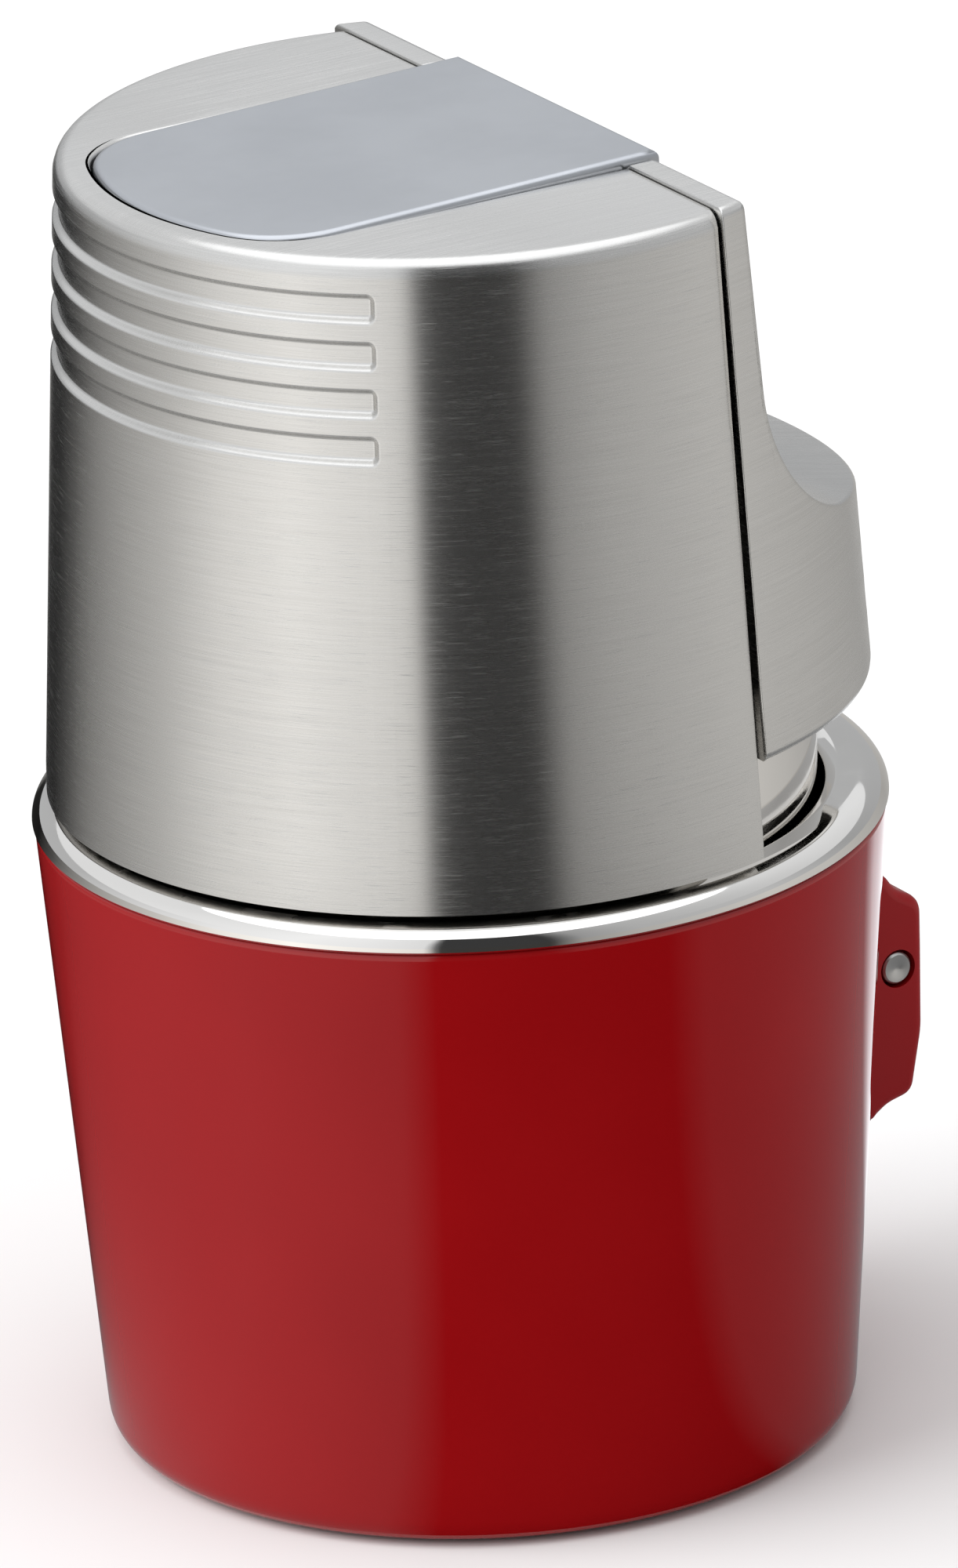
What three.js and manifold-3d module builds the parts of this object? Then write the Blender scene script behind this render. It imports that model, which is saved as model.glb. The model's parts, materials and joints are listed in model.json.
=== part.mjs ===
// Table gas lighter: a brushed steel head with a thumb lever and a flap lid, standing in a lacquered cup.
// Millimetres, +Z up, +X towards the thumb lever, origin at the middle of the underside of the cup.
import * as THREE from "three";
import { mergeVertices } from "three/addons/utils/BufferGeometryUtils.js";
import Module from "manifold-3d";

const wasm = await Module();
wasm.setup();

// ---------------------------------------------------------------- driving dimensions
const GAP = 0.3; // clearance between neighbouring pieces
const HALF_TURN = Math.PI;
const ROUND = 56; // facets round the outer pieces
const INNER = 36; // facets round the hidden ones

const CUP = { foot: 0.2, top: 46.8, radius: 27.26, flare: 0.0765, wall: 1.8, corner: 2.2, floor: 3.6 };
const RIM = { radius: 31.0, hole: 27.0, top: 48.6, under: 47.1, skirt: 41.0, shoulder: 1.5 };
const PAD = { radius: 22.0, top: 1.2 };
const CASING = { bottom: 49.85, top: 97.6, radius: 29.89, taper: 0.0546, wall: 1.3, edge: 1.1 };
const PARTING = { x: 7.4, slope: 0.0146 }; // the casing's flat front, at its top, leaning forward as it falls
const LEVER = { bottom: 57.3, top: 97.9, proud: 0.5, wall: 1.4, edge: 1.0, travel: 6.5 };
const SCOOP = { x: 23.8, z: 84.2, radius: 13.0, face: 10.0, ledgeSlope: 12 };
const LID = { halfWidth: 13.68, rear: 24.6, corner: 7.0, front: 10.3, thick: 1.3, tilt: 1.1, deck: 96.4 };
const SLEEVE = { radius: 25.9, wall: 1.0, bottom: 43.3, top: 60.0 };
const TANK = { radius: 24.4, wall: 1.0, bottom: 8.3, top: 40.0, lidTop: 43.0 };
const PLATE = { bottom: 44.2, top: 46.2, radius: 24.5 };
const LID_HINGE = { x: 5.2, z: 94.6, pin: 0.8, lug: 1.9 };
const WHEEL = { x: 2.0, z: 82.0, radius: 4.5, halfWidth: 2.0, teeth: 24, axle: 0.9 };
const GEAR = { module: 0.5, teeth: 12, pressure: 25, y: 5.0, halfWidth: 1.4, backlash: 0.12 };
const BURNER = { x: -8.0, stem: 1.0, tip: 87.0, collar: 57.5 };
const VALVE_ARM = { x: -1.0, z: 54.5, y: 3.6, halfWidth: 0.8, pin: 0.8 };
const ROD = { x: 13.0, y: 9.0, radius: 1.5, top: 66.0 };
const FLINT = { x: WHEEL.x, tube: 2.1, bore: 1.55, top: 76.3 };
const LATCH = { x: 34.0, z: 27.7, pin: 1.25, halfWidth: 4.5, pocket: 2.9, lug: 1.6, saddle: 34.35,
  slotLow: 30.4, slotHigh: 34.6 };
const LATCH_SPRING = { z: 22.8, radius: 1.2, wire: 0.22, length: 3.0, turns: 3 };
const SCREW = { shank: 0.8, head: 1.6, headHeight: 1.0, hole: 1.1 }; // every small screw, and the holes for them
const CASING_SCREW = { x: 6.9, y: 21.3, z: 64.5, length: 5.0, earWidth: 7.0 };
const LEVER_SCREW = { x: 18.0, y: 8.0, length: 5.8 };
const RACK_SCREW = { z: 72.0, length: 3.6, headHeight: 0.8 };
const FRAME = { rear: -14.0, front: 6.0, inner: 7.4, outer: 8.6, foot: 1.2, shoulder: 88.0, tieLow: 66.0,
  tieHigh: 67.4 };
const CARRIAGE = { rear: 9.3, front: 21.0, halfWidth: 11.5, bottom: 63.5, top: 66.0, sleeveRadius: 2.9, back: 1.2 };
const GROOVES = { first: 95.0, pitch: 3.45, height: 1.75, depth: 0.7, end: 130.5 };

const cupRadius = (z) => CUP.radius + CUP.flare * z;
const casingRadius = (z) => CASING.radius - CASING.taper * (z - CASING.bottom);
const leverRadius = (z) => casingRadius(z) + LEVER.proud;
const partingX = (z) => PARTING.x + PARTING.slope * (CASING.top - z);
const leverBackX = (z) => partingX(z) + GAP + 0.0085 * (CASING.top - z);
const degrees = THREE.MathUtils.degToRad;

// ---------------------------------------------------------------- materials
function metal(color, roughness) {
  return new THREE.MeshStandardMaterial({ color, roughness, metalness: 1 });
}

function plain(color, roughness) {
  return new THREE.MeshStandardMaterial({ color, roughness, metalness: 0 });
}

const finish = {
  brushed: () => metal(0xc4c2be, 0.34),
  chrome: () => metal(0xdcdcda, 0.06),
  steel: () => metal(0x9a9890, 0.38),
  brass: () => metal(0xc39a4a, 0.32),
  spring: () => metal(0x86868a, 0.3),
  lacquer: () => plain(0xa3141c, 0.12),
  black: () => plain(0x131313, 0.6),
  felt: () => plain(0x1d1d20, 0.95),
  flint: () => metal(0x4b4843, 0.7),
};

// ---------------------------------------------------------------- solids
function toSolid(geometry) {
  const bare = geometry.clone();
  bare.deleteAttribute("normal");
  bare.deleteAttribute("uv");
  const merged = mergeVertices(bare, 1e-4);
  const index = merged.index.array;
  const kept = [];
  for (let i = 0; i < index.length; i += 3) {
    const [a, b, c] = [index[i], index[i + 1], index[i + 2]];
    if (a !== b && b !== c && c !== a) kept.push(a, b, c);
  }
  const vertProperties = new Float32Array(merged.attributes.position.array);
  return new wasm.Manifold(new wasm.Mesh({ numProp: 3, vertProperties, triVerts: new Uint32Array(kept) }));
}

function toGeometry(solid) {
  const mesh = solid.getMesh();
  const geometry = new THREE.BufferGeometry();
  geometry.setAttribute("position", new THREE.BufferAttribute(new Float32Array(mesh.vertProperties), 3));
  geometry.setIndex(new THREE.BufferAttribute(new Uint32Array(mesh.triVerts), 1));
  geometry.computeVertexNormals();
  return geometry;
}

function combine(method, first, others) {
  return toGeometry(others.reduce((solid, other) => solid[method](toSolid(other)), toSolid(first)));
}

const join = (first, ...others) => combine("add", first, others);
const cut = (first, ...others) => combine("subtract", first, others);
const common = (first, ...others) => combine("intersect", first, others);

// Turns a closed outline of [radius, z] points about the Z axis.
function turned(outline, segments) {
  let area = 0;
  outline.forEach(([r, z], i) => {
    const [nextR, nextZ] = outline[(i + 1) % outline.length];
    area += r * nextZ - nextR * z;
  });
  const points = (area > 0 ? outline : [...outline].reverse()).map(([r, z]) => new THREE.Vector2(r, z));
  const onAxis = points[0].x === 0 && points[points.length - 1].x === 0;
  if (!onAxis) points.push(points[0].clone());
  return toGeometry(toSolid(new THREE.LatheGeometry(points, segments).rotateX(HALF_TURN / 2)));
}

function ring(inner, outer, bottom, top, segments) {
  return turned([[inner, bottom], [outer, bottom], [outer, top], [inner, top]], segments);
}

function polar(radius, azimuth) {
  return [radius * Math.cos(degrees(azimuth)), radius * Math.sin(degrees(azimuth))];
}

function arcPoints(x, y, radius, from, to, steps) {
  return Array.from({ length: steps + 1 }, (_, i) => {
    const [offsetX, offsetY] = polar(radius, from + ((to - from) * i) / steps);
    return [x + offsetX, y + offsetY];
  });
}

function shapeOf(points) {
  return new THREE.Shape(points.map(([x, y]) => new THREE.Vector2(x, y)));
}

// Raises an outline of [x, y] points from one height to another.
function raised(points, bottom, top) {
  const options = { depth: top - bottom, bevelEnabled: false };
  return new THREE.ExtrudeGeometry(shapeOf(points), options).translate(0, 0, bottom);
}

// Spreads an outline of [x, z] points across a stretch of Y.
function across(points, fromY, toY) {
  const options = { depth: toY - fromY, bevelEnabled: false };
  return new THREE.ExtrudeGeometry(shapeOf(points), options).rotateX(HALF_TURN / 2).translate(0, toY, 0);
}

function block(x0, x1, y0, y1, z0, z1) {
  const size = new THREE.BoxGeometry(x1 - x0, y1 - y0, z1 - z0);
  return size.translate((x0 + x1) / 2, (y0 + y1) / 2, (z0 + z1) / 2);
}

// A block on one side of the middle plane, from a near to a far distance off it.
function sideBlock(x0, x1, side, near, far, z0, z1) {
  return block(x0, x1, Math.min(side * near, side * far), Math.max(side * near, side * far), z0, z1);
}

function post(x, y, radius, bottom, top, segments = 12) {
  const shaft = new THREE.CylinderGeometry(radius, radius, top - bottom, segments).rotateX(HALF_TURN / 2);
  return shaft.translate(x, y, (bottom + top) / 2);
}

function crossBar(x, z, radius, fromY, toY, segments = 12) {
  const bar = new THREE.CylinderGeometry(radius, radius, toY - fromY, segments);
  return bar.translate(x, (fromY + toY) / 2, z);
}

function alongX(fromX, toX, y, z, radius, segments = 12) {
  const bar = new THREE.CylinderGeometry(radius, radius, toX - fromX, segments).rotateZ(HALF_TURN / 2);
  return bar.translate((fromX + toX) / 2, y, z);
}

class Helix extends THREE.Curve {
  constructor(radius, height, turns) {
    super();
    Object.assign(this, { radius, height, turns });
  }

  getPoint(t) {
    const angle = 2 * Math.PI * this.turns * t;
    return new THREE.Vector3(this.radius * Math.cos(angle), this.radius * Math.sin(angle), this.height * t);
  }
}

// A coil spring of round wire, standing on z = 0.
function coil(radius, wire, height, turns) {
  const section = new THREE.Shape().absarc(0, 0, wire, 0, 2 * Math.PI, false);
  const path = new Helix(radius, height - 2 * wire, turns);
  const options = { curveSegments: 3, steps: Math.round(turns * 8), bevelEnabled: false, extrudePath: path };
  return new THREE.ExtrudeGeometry(section, options).translate(0, 0, wire);
}

// A slotted pan-head screw, pointing up, its head's underside on z = 0.
function screwShape(length, headHeight = SCREW.headHeight) {
  const { shank, head } = SCREW;
  const body = turned([[0, -headHeight], [head, -headHeight], [head, 0], [shank, 0], [shank, length],
    [0, length]], 14);
  const slot = block(-head, head, -0.2, 0.2, -headHeight - 1, -headHeight * 0.5);
  return cut(body, slot);
}

// ---------------------------------------------------------------- the scene graph
const group = new THREE.Group();
const bodies = {};
for (const name of ["base", "latch", "head", "lever", "lid", "wheel", "valve_arm", "burner", "refill", "adjuster"]) {
  bodies[name] = new THREE.Group();
  group.add(bodies[name]);
}

function place(body, name, geometry, material, at = [0, 0, 0], turn = [0, 0, 0]) {
  const mesh = new THREE.Mesh(geometry, material);
  mesh.name = name;
  mesh.position.set(...at);
  mesh.rotation.set(...turn);
  bodies[body].add(mesh);
}

// ---------------------------------------------------------------- base: the cup and what is fixed to it
function cupShell() {
  const { foot, top, wall, corner, floor } = CUP;
  const pocket = PAD.top + GAP;
  const centre = cupRadius(foot + corner) - corner;
  const innerCorner = cupRadius(floor + 3) - wall - 2.6;
  const shell = turned([
    [0, pocket], [PAD.radius + GAP, pocket], [PAD.radius + GAP, foot],
    ...arcPoints(centre, foot + corner, corner, -90, -5, 4),
    [cupRadius(top), top], [cupRadius(top) - wall, top],
    ...arcPoints(innerCorner, floor + 2.6, 2.6, -5, -90, 3),
    [0, floor],
  ], ROUND);
  return cut(shell, latchSlot());
}

// Window in the cup's wall that the latch's nose passes through.
function latchSlot() {
  return block(20, 40, -LATCH.pocket, LATCH.pocket, LATCH.slotLow, LATCH.slotHigh);
}

function rimRing() {
  const { radius, hole, top, under, skirt, shoulder } = RIM;
  const skirtOuter = cupRadius(skirt) - CUP.wall - GAP;
  return turned([
    [hole, skirt], [skirtOuter, skirt], [skirtOuter, under], [radius - 0.3, under],
    [radius, under + 0.35], [radius - 0.1, under + 0.65], [radius - 0.35 * shoulder, top - 0.3],
    [radius - shoulder, top], [hole + 0.6, top - 0.1], [hole, top - 0.5],
  ], ROUND);
}

// Thin black tube that lines the cup and guides the head.
function liner() {
  const outer = (z) => cupRadius(z) - CUP.wall - GAP - 0.1;
  const [bottom, top] = [8.2, RIM.skirt - GAP];
  const tube = turned([[outer(bottom) - 0.8, bottom], [outer(bottom), bottom], [outer(top), top],
    [outer(top) - 0.8, top]], INNER);
  return cut(tube, latchSlot());
}

// Lug on the cup's wall whose open saddle holds the latch's pin.
function latchLug() {
  const { x, z, pin, lug, saddle } = LATCH;
  const outline = [[27, z - 3.4], [x - 1, z - 2.2], [saddle, z - 2.1], [saddle, z + 2.1], [27, z + 2.2]];
  const cupOuter = turned([[0, 10], [cupRadius(10) + GAP, 10], [cupRadius(45) + GAP, 45], [0, 45]], ROUND);
  return cut(across(outline, -lug, lug), cupOuter, crossBar(x, z, pin + GAP, -5, 5));
}

function buildBase() {
  place("base", "base_cup", cupShell(), finish.lacquer());
  place("base", "base_pad", turned([[0, 0], [PAD.radius, 0], [PAD.radius, PAD.top], [0, PAD.top]], ROUND),
    finish.felt());
  place("base", "base_weight", ring(16, 23.6, CUP.floor + GAP, TANK.bottom - GAP, INNER), finish.steel());
  place("base", "cup_rim", rimRing(), finish.chrome());
  place("base", "cup_liner", liner(), finish.black());
  place("base", "latch_bracket", latchLug(), finish.lacquer());
  const pinLength = 2 * (LATCH.halfWidth - 0.1);
  place("base", "latch_pin", new THREE.CylinderGeometry(LATCH.pin, LATCH.pin, pinLength, 20), finish.steel(),
    [LATCH.x, 0, LATCH.z]);
  const { z, radius, wire, length, turns } = LATCH_SPRING;
  place("base", "latch_spring", coil(radius, wire, length, turns), finish.spring(),
    [cupRadius(z) + GAP, 0, z], [0, HALF_TURN / 2, 0]);
}

// ---------------------------------------------------------------- latch: a rocker on the side of the cup
function latchRocker() {
  const { x, z, pin, halfWidth, pocket, slotLow } = LATCH;
  const outline = [
    [31.2, 35.6], [33.4, 35.1], [34.7, 34.0], [35.9, 32.7], [36.3, 31.2], [36.3, 27.0], [36.2, 23.9],
    [35.7, 20.3], [35.2, 18.1], [34.3, 17.5], [31.9, 16.7], [31.4, 17.4], [31.4, 24.2], [31.0, 25.4],
    [31.0, 34.9],
  ];
  const hollow = [[25, slotLow], [34.7, slotLow], [34.8, 24.0], [34.2, 19.4], [25, 19.4]];
  const noseLow = slotLow + 0.4;
  const nose = [[25.0, noseLow], [32, noseLow], [32, noseLow + 1.5], [25.0, noseLow + 1.5]];
  return cut(
    join(
      cut(across(outline, -halfWidth, halfWidth), across(hollow, -pocket, pocket)),
      across(nose, -pocket + 0.4, pocket - 0.4),
    ),
    crossBar(x, z, pin + GAP, -5, 5),
  );
}

// ---------------------------------------------------------------- head: casing, tank and mechanism
// Outline of the lid's plate, widened by a clearance, with its front edge at the given x.
function lidOutline(clearance, front) {
  const { halfWidth, rear, corner } = LID;
  const cornerY = halfWidth - corner;
  const cornerX = -Math.sqrt((rear - corner) ** 2 - cornerY ** 2);
  const rearAngle = THREE.MathUtils.radToDeg(Math.atan2(cornerY, -cornerX));
  const side = halfWidth + clearance;
  return [
    [front, -side],
    [front, side],
    ...arcPoints(cornerX, cornerY, corner + clearance, 90, 180 - rearAngle, 4),
    ...arcPoints(0, 0, rear + clearance, 180 - rearAngle, 180 + rearAngle, 14).slice(1, -1),
    ...arcPoints(cornerX, -cornerY, corner + clearance, 180 + rearAngle, 270, 4),
  ];
}

function frontHalfSpace(wallX) {
  return across([[wallX(110), 110], [wallX(40), 40], [45, 40], [45, 110]], -40, 40);
}

function groove(top) {
  const [low, high] = [top - GROOVES.height, top];
  const floorAt = (z) => casingRadius(z) - GROOVES.depth;
  const band = turned([[floorAt(low), low], [40, low], [40, high], [floorAt(high), high]], ROUND);
  const reach = degrees(180 - GROOVES.end);
  const far = 60;
  const wedge = raised([[0, 0], [-far * Math.cos(reach), far * Math.sin(reach)], [-far, 0],
    [-far * Math.cos(reach), -far * Math.sin(reach)]], low - 1, high + 1);
  return common(band, wedge);
}

function casingShell() {
  const { bottom, top, wall, edge } = CASING;
  const inner = (z) => casingRadius(z) - wall;
  const ceiling = top - wall;
  const shell = turned([
    [0, ceiling], [inner(ceiling) - 0.6, ceiling], [inner(ceiling - 0.6), ceiling - 0.6],
    [inner(bottom), bottom], [casingRadius(bottom), bottom],
    ...arcPoints(casingRadius(top) - edge, top - edge, edge, 3, 90, 4),
    [0, top],
  ], ROUND);
  const screw = CASING_SCREW;
  const [earLow, earHigh] = [screw.z - screw.earWidth / 2, screw.z + screw.earWidth / 2];
  const ears = [-1, 1].map((side) => common(
    sideBlock(screw.x - 2, screw.x, side, screw.y - 2.5, top, earLow, earHigh),
    turned([[0, earLow], [inner(earLow) + 0.5, earLow], [inner(earHigh) + 0.5, earHigh], [0, earHigh]], ROUND),
  ));
  const screwHoles = [-1, 1].map((side) => alongX(3, 9, side * screw.y, screw.z, SCREW.hole));
  const opening = raised(lidOutline(GAP, 20), ceiling - 1, top + 2);
  const grooves = [0, 1, 2, 3].map((i) => groove(GROOVES.first - i * GROOVES.pitch));
  return cut(join(shell, ...ears), frontHalfSpace(partingX), opening, ...grooves, ...screwHoles);
}

function sleeve() {
  const { radius, wall, bottom, top } = SLEEVE;
  return turned([[23.6, bottom], [radius, bottom], [radius, top], [radius - wall, top],
    [radius - wall, PLATE.bottom - GAP], [23.6, PLATE.bottom - GAP]], ROUND);
}

function fuelTank() {
  const { radius, wall, bottom, top } = TANK;
  const vessel = turned([[0, bottom], [radius - 1.5, bottom], [radius, bottom + 1.5], [radius, top],
    [radius - wall, top], [radius - wall, bottom + 2.4], [radius - 2.4, bottom + 1.2], [0, bottom + 1.2]], INNER);
  const holes = [[FLINT.x, FLINT.tube], [BURNER.x, 3.0], [11, 2.0]];
  return cut(vessel, ...holes.map(([x, radiusAt]) => post(x, 0, radiusAt + GAP, 5, 12)));
}

function tankCover() {
  const { radius, top, lidTop } = TANK;
  const disc = turned([[0, top + 1.3], [radius, top + 1.3], [radius, lidTop], [0, lidTop]], INNER);
  return cut(disc, post(FLINT.x, 0, FLINT.tube + GAP, 35, 50), post(BURNER.x, 0, 3.4 + GAP, 35, 50),
    ...chassisScrewPlaces.map(([x, y]) => post(x, y, SCREW.hole, 35, 50)));
}

const chassisScrewPlaces = [60, 180, 300].map((azimuth) => polar(19.5, azimuth));
const frameScrewPlaces = [[-11.5, 4.5], [-11.5, -4.5]];

function chassisPlate() {
  const disc = turned([[0, PLATE.bottom], [PLATE.radius, PLATE.bottom], [PLATE.radius, PLATE.top],
    [0, PLATE.top]], INNER);
  const holes = [
    post(FLINT.x, 0, FLINT.tube + GAP, 40, 50),
    post(BURNER.x, 0, 3.4 + GAP, 40, 50),
    ...[...chassisScrewPlaces, ...frameScrewPlaces].map(([x, y]) => post(x, y, SCREW.hole, 40, 50)),
    ...[-1, 1].map((side) => post(ROD.x, side * ROD.y, 1.2 + GAP, 40, 50)),
  ];
  return cut(disc, ...holes);
}

// Two side plates on a foot, with a tie across them and a wing on each side for the casing's screws.
function mechanismFrame() {
  const { rear, front, inner, outer, shoulder, tieLow, tieHigh } = FRAME;
  const floor = PLATE.top + GAP;
  const foot = block(rear, front, -outer, outer, floor, floor + FRAME.foot);
  const { x, z, lug } = LID_HINGE;
  const eye = lug - 0.2;
  const sides = [-1, 1].flatMap((side) => {
    const [near, far] = [Math.min(side * inner, side * outer), Math.max(side * inner, side * outer)];
    const plateSide = across([[rear, floor], [front, floor], [front, shoulder], [x + eye, z - 2.6],
      ...arcPoints(x, z, eye, 0, 180, 6), [0.5, shoulder], [rear, shoulder - 4]], near, far);
    const window = across([[rear + 4, 62], [rear + 11, 62], [rear + 11, 76], [rear + 4, 76]], near - 1, far + 1);
    const { earWidth, y: screwY, z: screwZ } = CASING_SCREW;
    const [low, high] = [screwZ - earWidth / 2, screwZ + earWidth / 2];
    const wing = sideBlock(2.3, 4.5, side, inner + 0.6, screwY + 2.9, low, high);
    return [cut(plateSide, window), wing];
  });
  const tie = block(rear + 0.2, front - 0.2, -inner - 0.6, inner + 0.6, tieLow, tieHigh);
  const rackPath = block(4.2, 7, GEAR.y - 2, GEAR.y + 2, tieLow - 1, tieHigh + 0.6);
  const whole = join(foot, cut(tie, rackPath), ...sides);
  const drill = 12;
  return cut(whole,
    post(FLINT.x, 0, FLINT.tube + GAP, 40, 70),
    post(BURNER.x, 0, 3.4 + GAP, 40, 50),
    post(BURNER.x, 0, BURNER.stem + GAP, 60, 70),
    crossBar(WHEEL.x, WHEEL.z, WHEEL.axle + GAP, -drill, drill),
    crossBar(LID_HINGE.x, LID_HINGE.z, LID_HINGE.pin + GAP, -drill, drill),
    crossBar(VALVE_ARM.x, VALVE_ARM.z, VALVE_ARM.pin + GAP, -drill, drill),
    ...frameScrewPlaces.map(([screwX, screwY]) => post(screwX, screwY, SCREW.hole, 40, 50)),
    ...[-1, 1].map((side) => alongX(0, 6, side * CASING_SCREW.y, CASING_SCREW.z, SCREW.hole)));
}

// Gas valve housing, screwed down through the chassis plate into the tank.
function valveHousing() {
  const bore = BURNER.stem + GAP;
  return turned([[bore, 34], [3.4, 34], [3.4, 48.6], [2.6, 49.2], [bore, 49.2]], 20);
}

function flintTube() {
  return ring(FLINT.bore, FLINT.tube, 9.2, FLINT.top, 16);
}

// Long screw that closes the flint tube from below and backs the flint's spring.
function flintScrew() {
  const head = turned([[0, 6.4], [3.2, 6.4], [3.2, 7.9], [1.25, 7.9], [1.25, 54], [0, 54]], 16);
  return cut(head, block(-4, 4, -0.35, 0.35, 5, 7.0));
}

// Wind guard: a little cup round the burner's tip, open towards the spark wheel.
function windGuard() {
  const bowl = turned([[BURNER.stem + GAP, 79], [4.6, 79], [4.6, 90], [4.1, 90], [4.1, 79.8],
    [BURNER.stem + GAP, 79.8]], 24);
  const ports = [80, 130, 180, 230, 280].map((azimuth) => {
    const reach = 6;
    const port = alongX(0, reach, 0, 0, 0.7, 8).rotateZ(degrees(azimuth));
    return port.translate(0, 0, 82);
  });
  return cut(bowl, block(2.2, 6, -6, 6, 81.5, 95), ...ports);
}

function guideRod() {
  return turned([[0, PLATE.bottom + GAP], [1.2, PLATE.bottom + GAP], [1.2, PLATE.top + GAP],
    [ROD.radius, PLATE.top + GAP], [ROD.radius, ROD.top - 0.4], [ROD.radius - 0.4, ROD.top], [0, ROD.top]], 16);
}

function refillHousing() {
  return turned([[1.3, 7.2], [3.9, 7.2], [3.9, 8.0], [3.0, 8.0], [3.0, 15], [1.3, 15]], 20);
}

function buildHead() {
  const steel = finish.steel;
  place("head", "casing", casingShell(), finish.brushed());
  place("head", "chassis_sleeve", sleeve(), finish.chrome());
  place("head", "fuel_tank", fuelTank(), steel());
  place("head", "tank_seal", ring(23.0, 24.1, TANK.top + GAP, TANK.top + 1.0, INNER), finish.black());
  place("head", "tank_cover", tankCover(), steel());
  place("head", "chassis_plate", chassisPlate(), steel());
  place("head", "mechanism_frame", mechanismFrame(), steel());
  chassisScrewPlaces.forEach(([x, y], i) => {
    place("head", `chassis_screw_${i + 1}`, screwShape(5.5), steel(),
      [x, y, PLATE.top + GAP], [HALF_TURN, 0, 0]);
  });
  frameScrewPlaces.forEach(([x, y], i) => {
    place("head", `frame_screw_${i + 1}`, screwShape(3.2), steel(),
      [x, y, PLATE.top + FRAME.foot + 2 * GAP], [HALF_TURN, 0, 0]);
  });
  ["right", "left"].forEach((name, i) => {
    const side = i === 0 ? -1 : 1;
    place("head", `casing_screw_${name}`, screwShape(CASING_SCREW.length), steel(),
      [CASING_SCREW.x + GAP, side * CASING_SCREW.y, CASING_SCREW.z], [0, -HALF_TURN / 2, 0]);
    place("head", `guide_rod_${name}`, guideRod(), steel(), [ROD.x, side * ROD.y, 0]);
    place("head", `lever_spring_${name}`, coil(2.3, 0.4, 13.0, 5), finish.spring(),
      [ROD.x, side * ROD.y, PLATE.top + GAP]);
  });
  place("head", "valve_body", valveHousing(), finish.brass(), [BURNER.x, 0, 0]);
  place("head", "flint_tube", flintTube(), finish.brass(), [FLINT.x, 0, 0]);
  place("head", "flint_screw", flintScrew(), finish.brass(), [FLINT.x, 0, 0]);
  place("head", "flint_spring", coil(1.0, 0.2, 14.0, 6), finish.spring(), [FLINT.x, 0, 54.3]);
  place("head", "flint", post(0, 0, 1.2, 68.7, WHEEL.z - WHEEL.radius - GAP), finish.flint(), [FLINT.x, 0, 0]);
  place("head", "wind_guard", windGuard(), finish.brass(), [BURNER.x, 0, 0]);
  place("head", "wheel_axle", crossBar(WHEEL.x, WHEEL.z, WHEEL.axle, -9.4, 9.4), steel());
  place("head", "lid_hinge_pin", crossBar(LID_HINGE.x, LID_HINGE.z, LID_HINGE.pin, -12.6, 12.6), steel());
  place("head", "valve_arm_pin", crossBar(VALVE_ARM.x, VALVE_ARM.z, VALVE_ARM.pin, -9.4, 9.4), steel());
  place("head", "lid_spring", coil(1.4, 0.22, 3.6, 4), finish.spring(),
    [LID_HINGE.x, -5.6, LID_HINGE.z], [-HALF_TURN / 2, 0, 0]);
  place("head", "valve_spring", coil(1.8, 0.25, 66.0 - BURNER.collar - 1.2 - 2 * GAP, 4), finish.spring(),
    [BURNER.x, 0, BURNER.collar + 1.2 + GAP]);
  place("head", "refill_valve", refillHousing(), finish.brass(), [BURNER.x, 0, 0]);
}

// ---------------------------------------------------------------- lever: the thumb piece and its carriage
// The lever's outer side face and thumb ledge, from its top down and outwards, moved inwards by a wall.
function scoopLine(inset, top) {
  const { x, z, radius, face, ledgeSlope } = SCOOP;
  const lean = THREE.MathUtils.radToDeg(Math.atan2(x - radius - face, LEVER.top - z));
  const arc = arcPoints(x, z, radius + inset, 180 + lean, 270 - ledgeSlope, 8);
  const [endX, endZ] = arc[arc.length - 1];
  const reach = 40;
  const faceX = arc[0][0] - (top - arc[0][1]) * Math.tan(degrees(lean));
  return [[faceX, top], ...arc, [reach, endZ - (reach - endX) * Math.tan(degrees(ledgeSlope))]];
}

function leverCone(inset, bottom, top) {
  const radius = (z) => leverRadius(z) - inset;
  const edge = LEVER.edge;
  if (inset > 0) return turned([[0, bottom], [radius(bottom), bottom], [radius(top), top], [0, top]], ROUND);
  return turned([[0, bottom], ...arcPoints(radius(bottom) - edge, bottom + edge, edge, -90, 0, 3),
    ...arcPoints(radius(top) - edge, top - edge, edge, 0, 90, 3), [0, top]], ROUND);
}

function thumbLever() {
  const { bottom, top, wall } = LEVER;
  const outer = across([...scoopLine(0, top + 1), [40, bottom - 1], [leverBackX(bottom), bottom - 1],
    [leverBackX(top), top + 1]], -35, 35);
  const hollowTop = 83;
  const hollow = common(
    across([...scoopLine(wall, hollowTop), [40, bottom - 3], [0, bottom - 3], [0, hollowTop]], -35, 35),
    leverCone(wall, bottom - 3, top),
  );
  const lidSlot = block(0, 20, -LID.halfWidth - GAP, LID.halfWidth + GAP, LID.deck, top + 3);
  const { x, y } = LEVER_SCREW;
  const foot = CARRIAGE.top + GAP;
  const posts = [-1, 1].map((side) => cut(
    post(x, side * y, 2.4, foot, foot + 5),
    post(x, side * y, SCREW.hole, foot - 1, foot + 3.7),
  ));
  return join(cut(common(leverCone(0, bottom, top), outer), hollow, lidSlot), ...posts);
}

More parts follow.
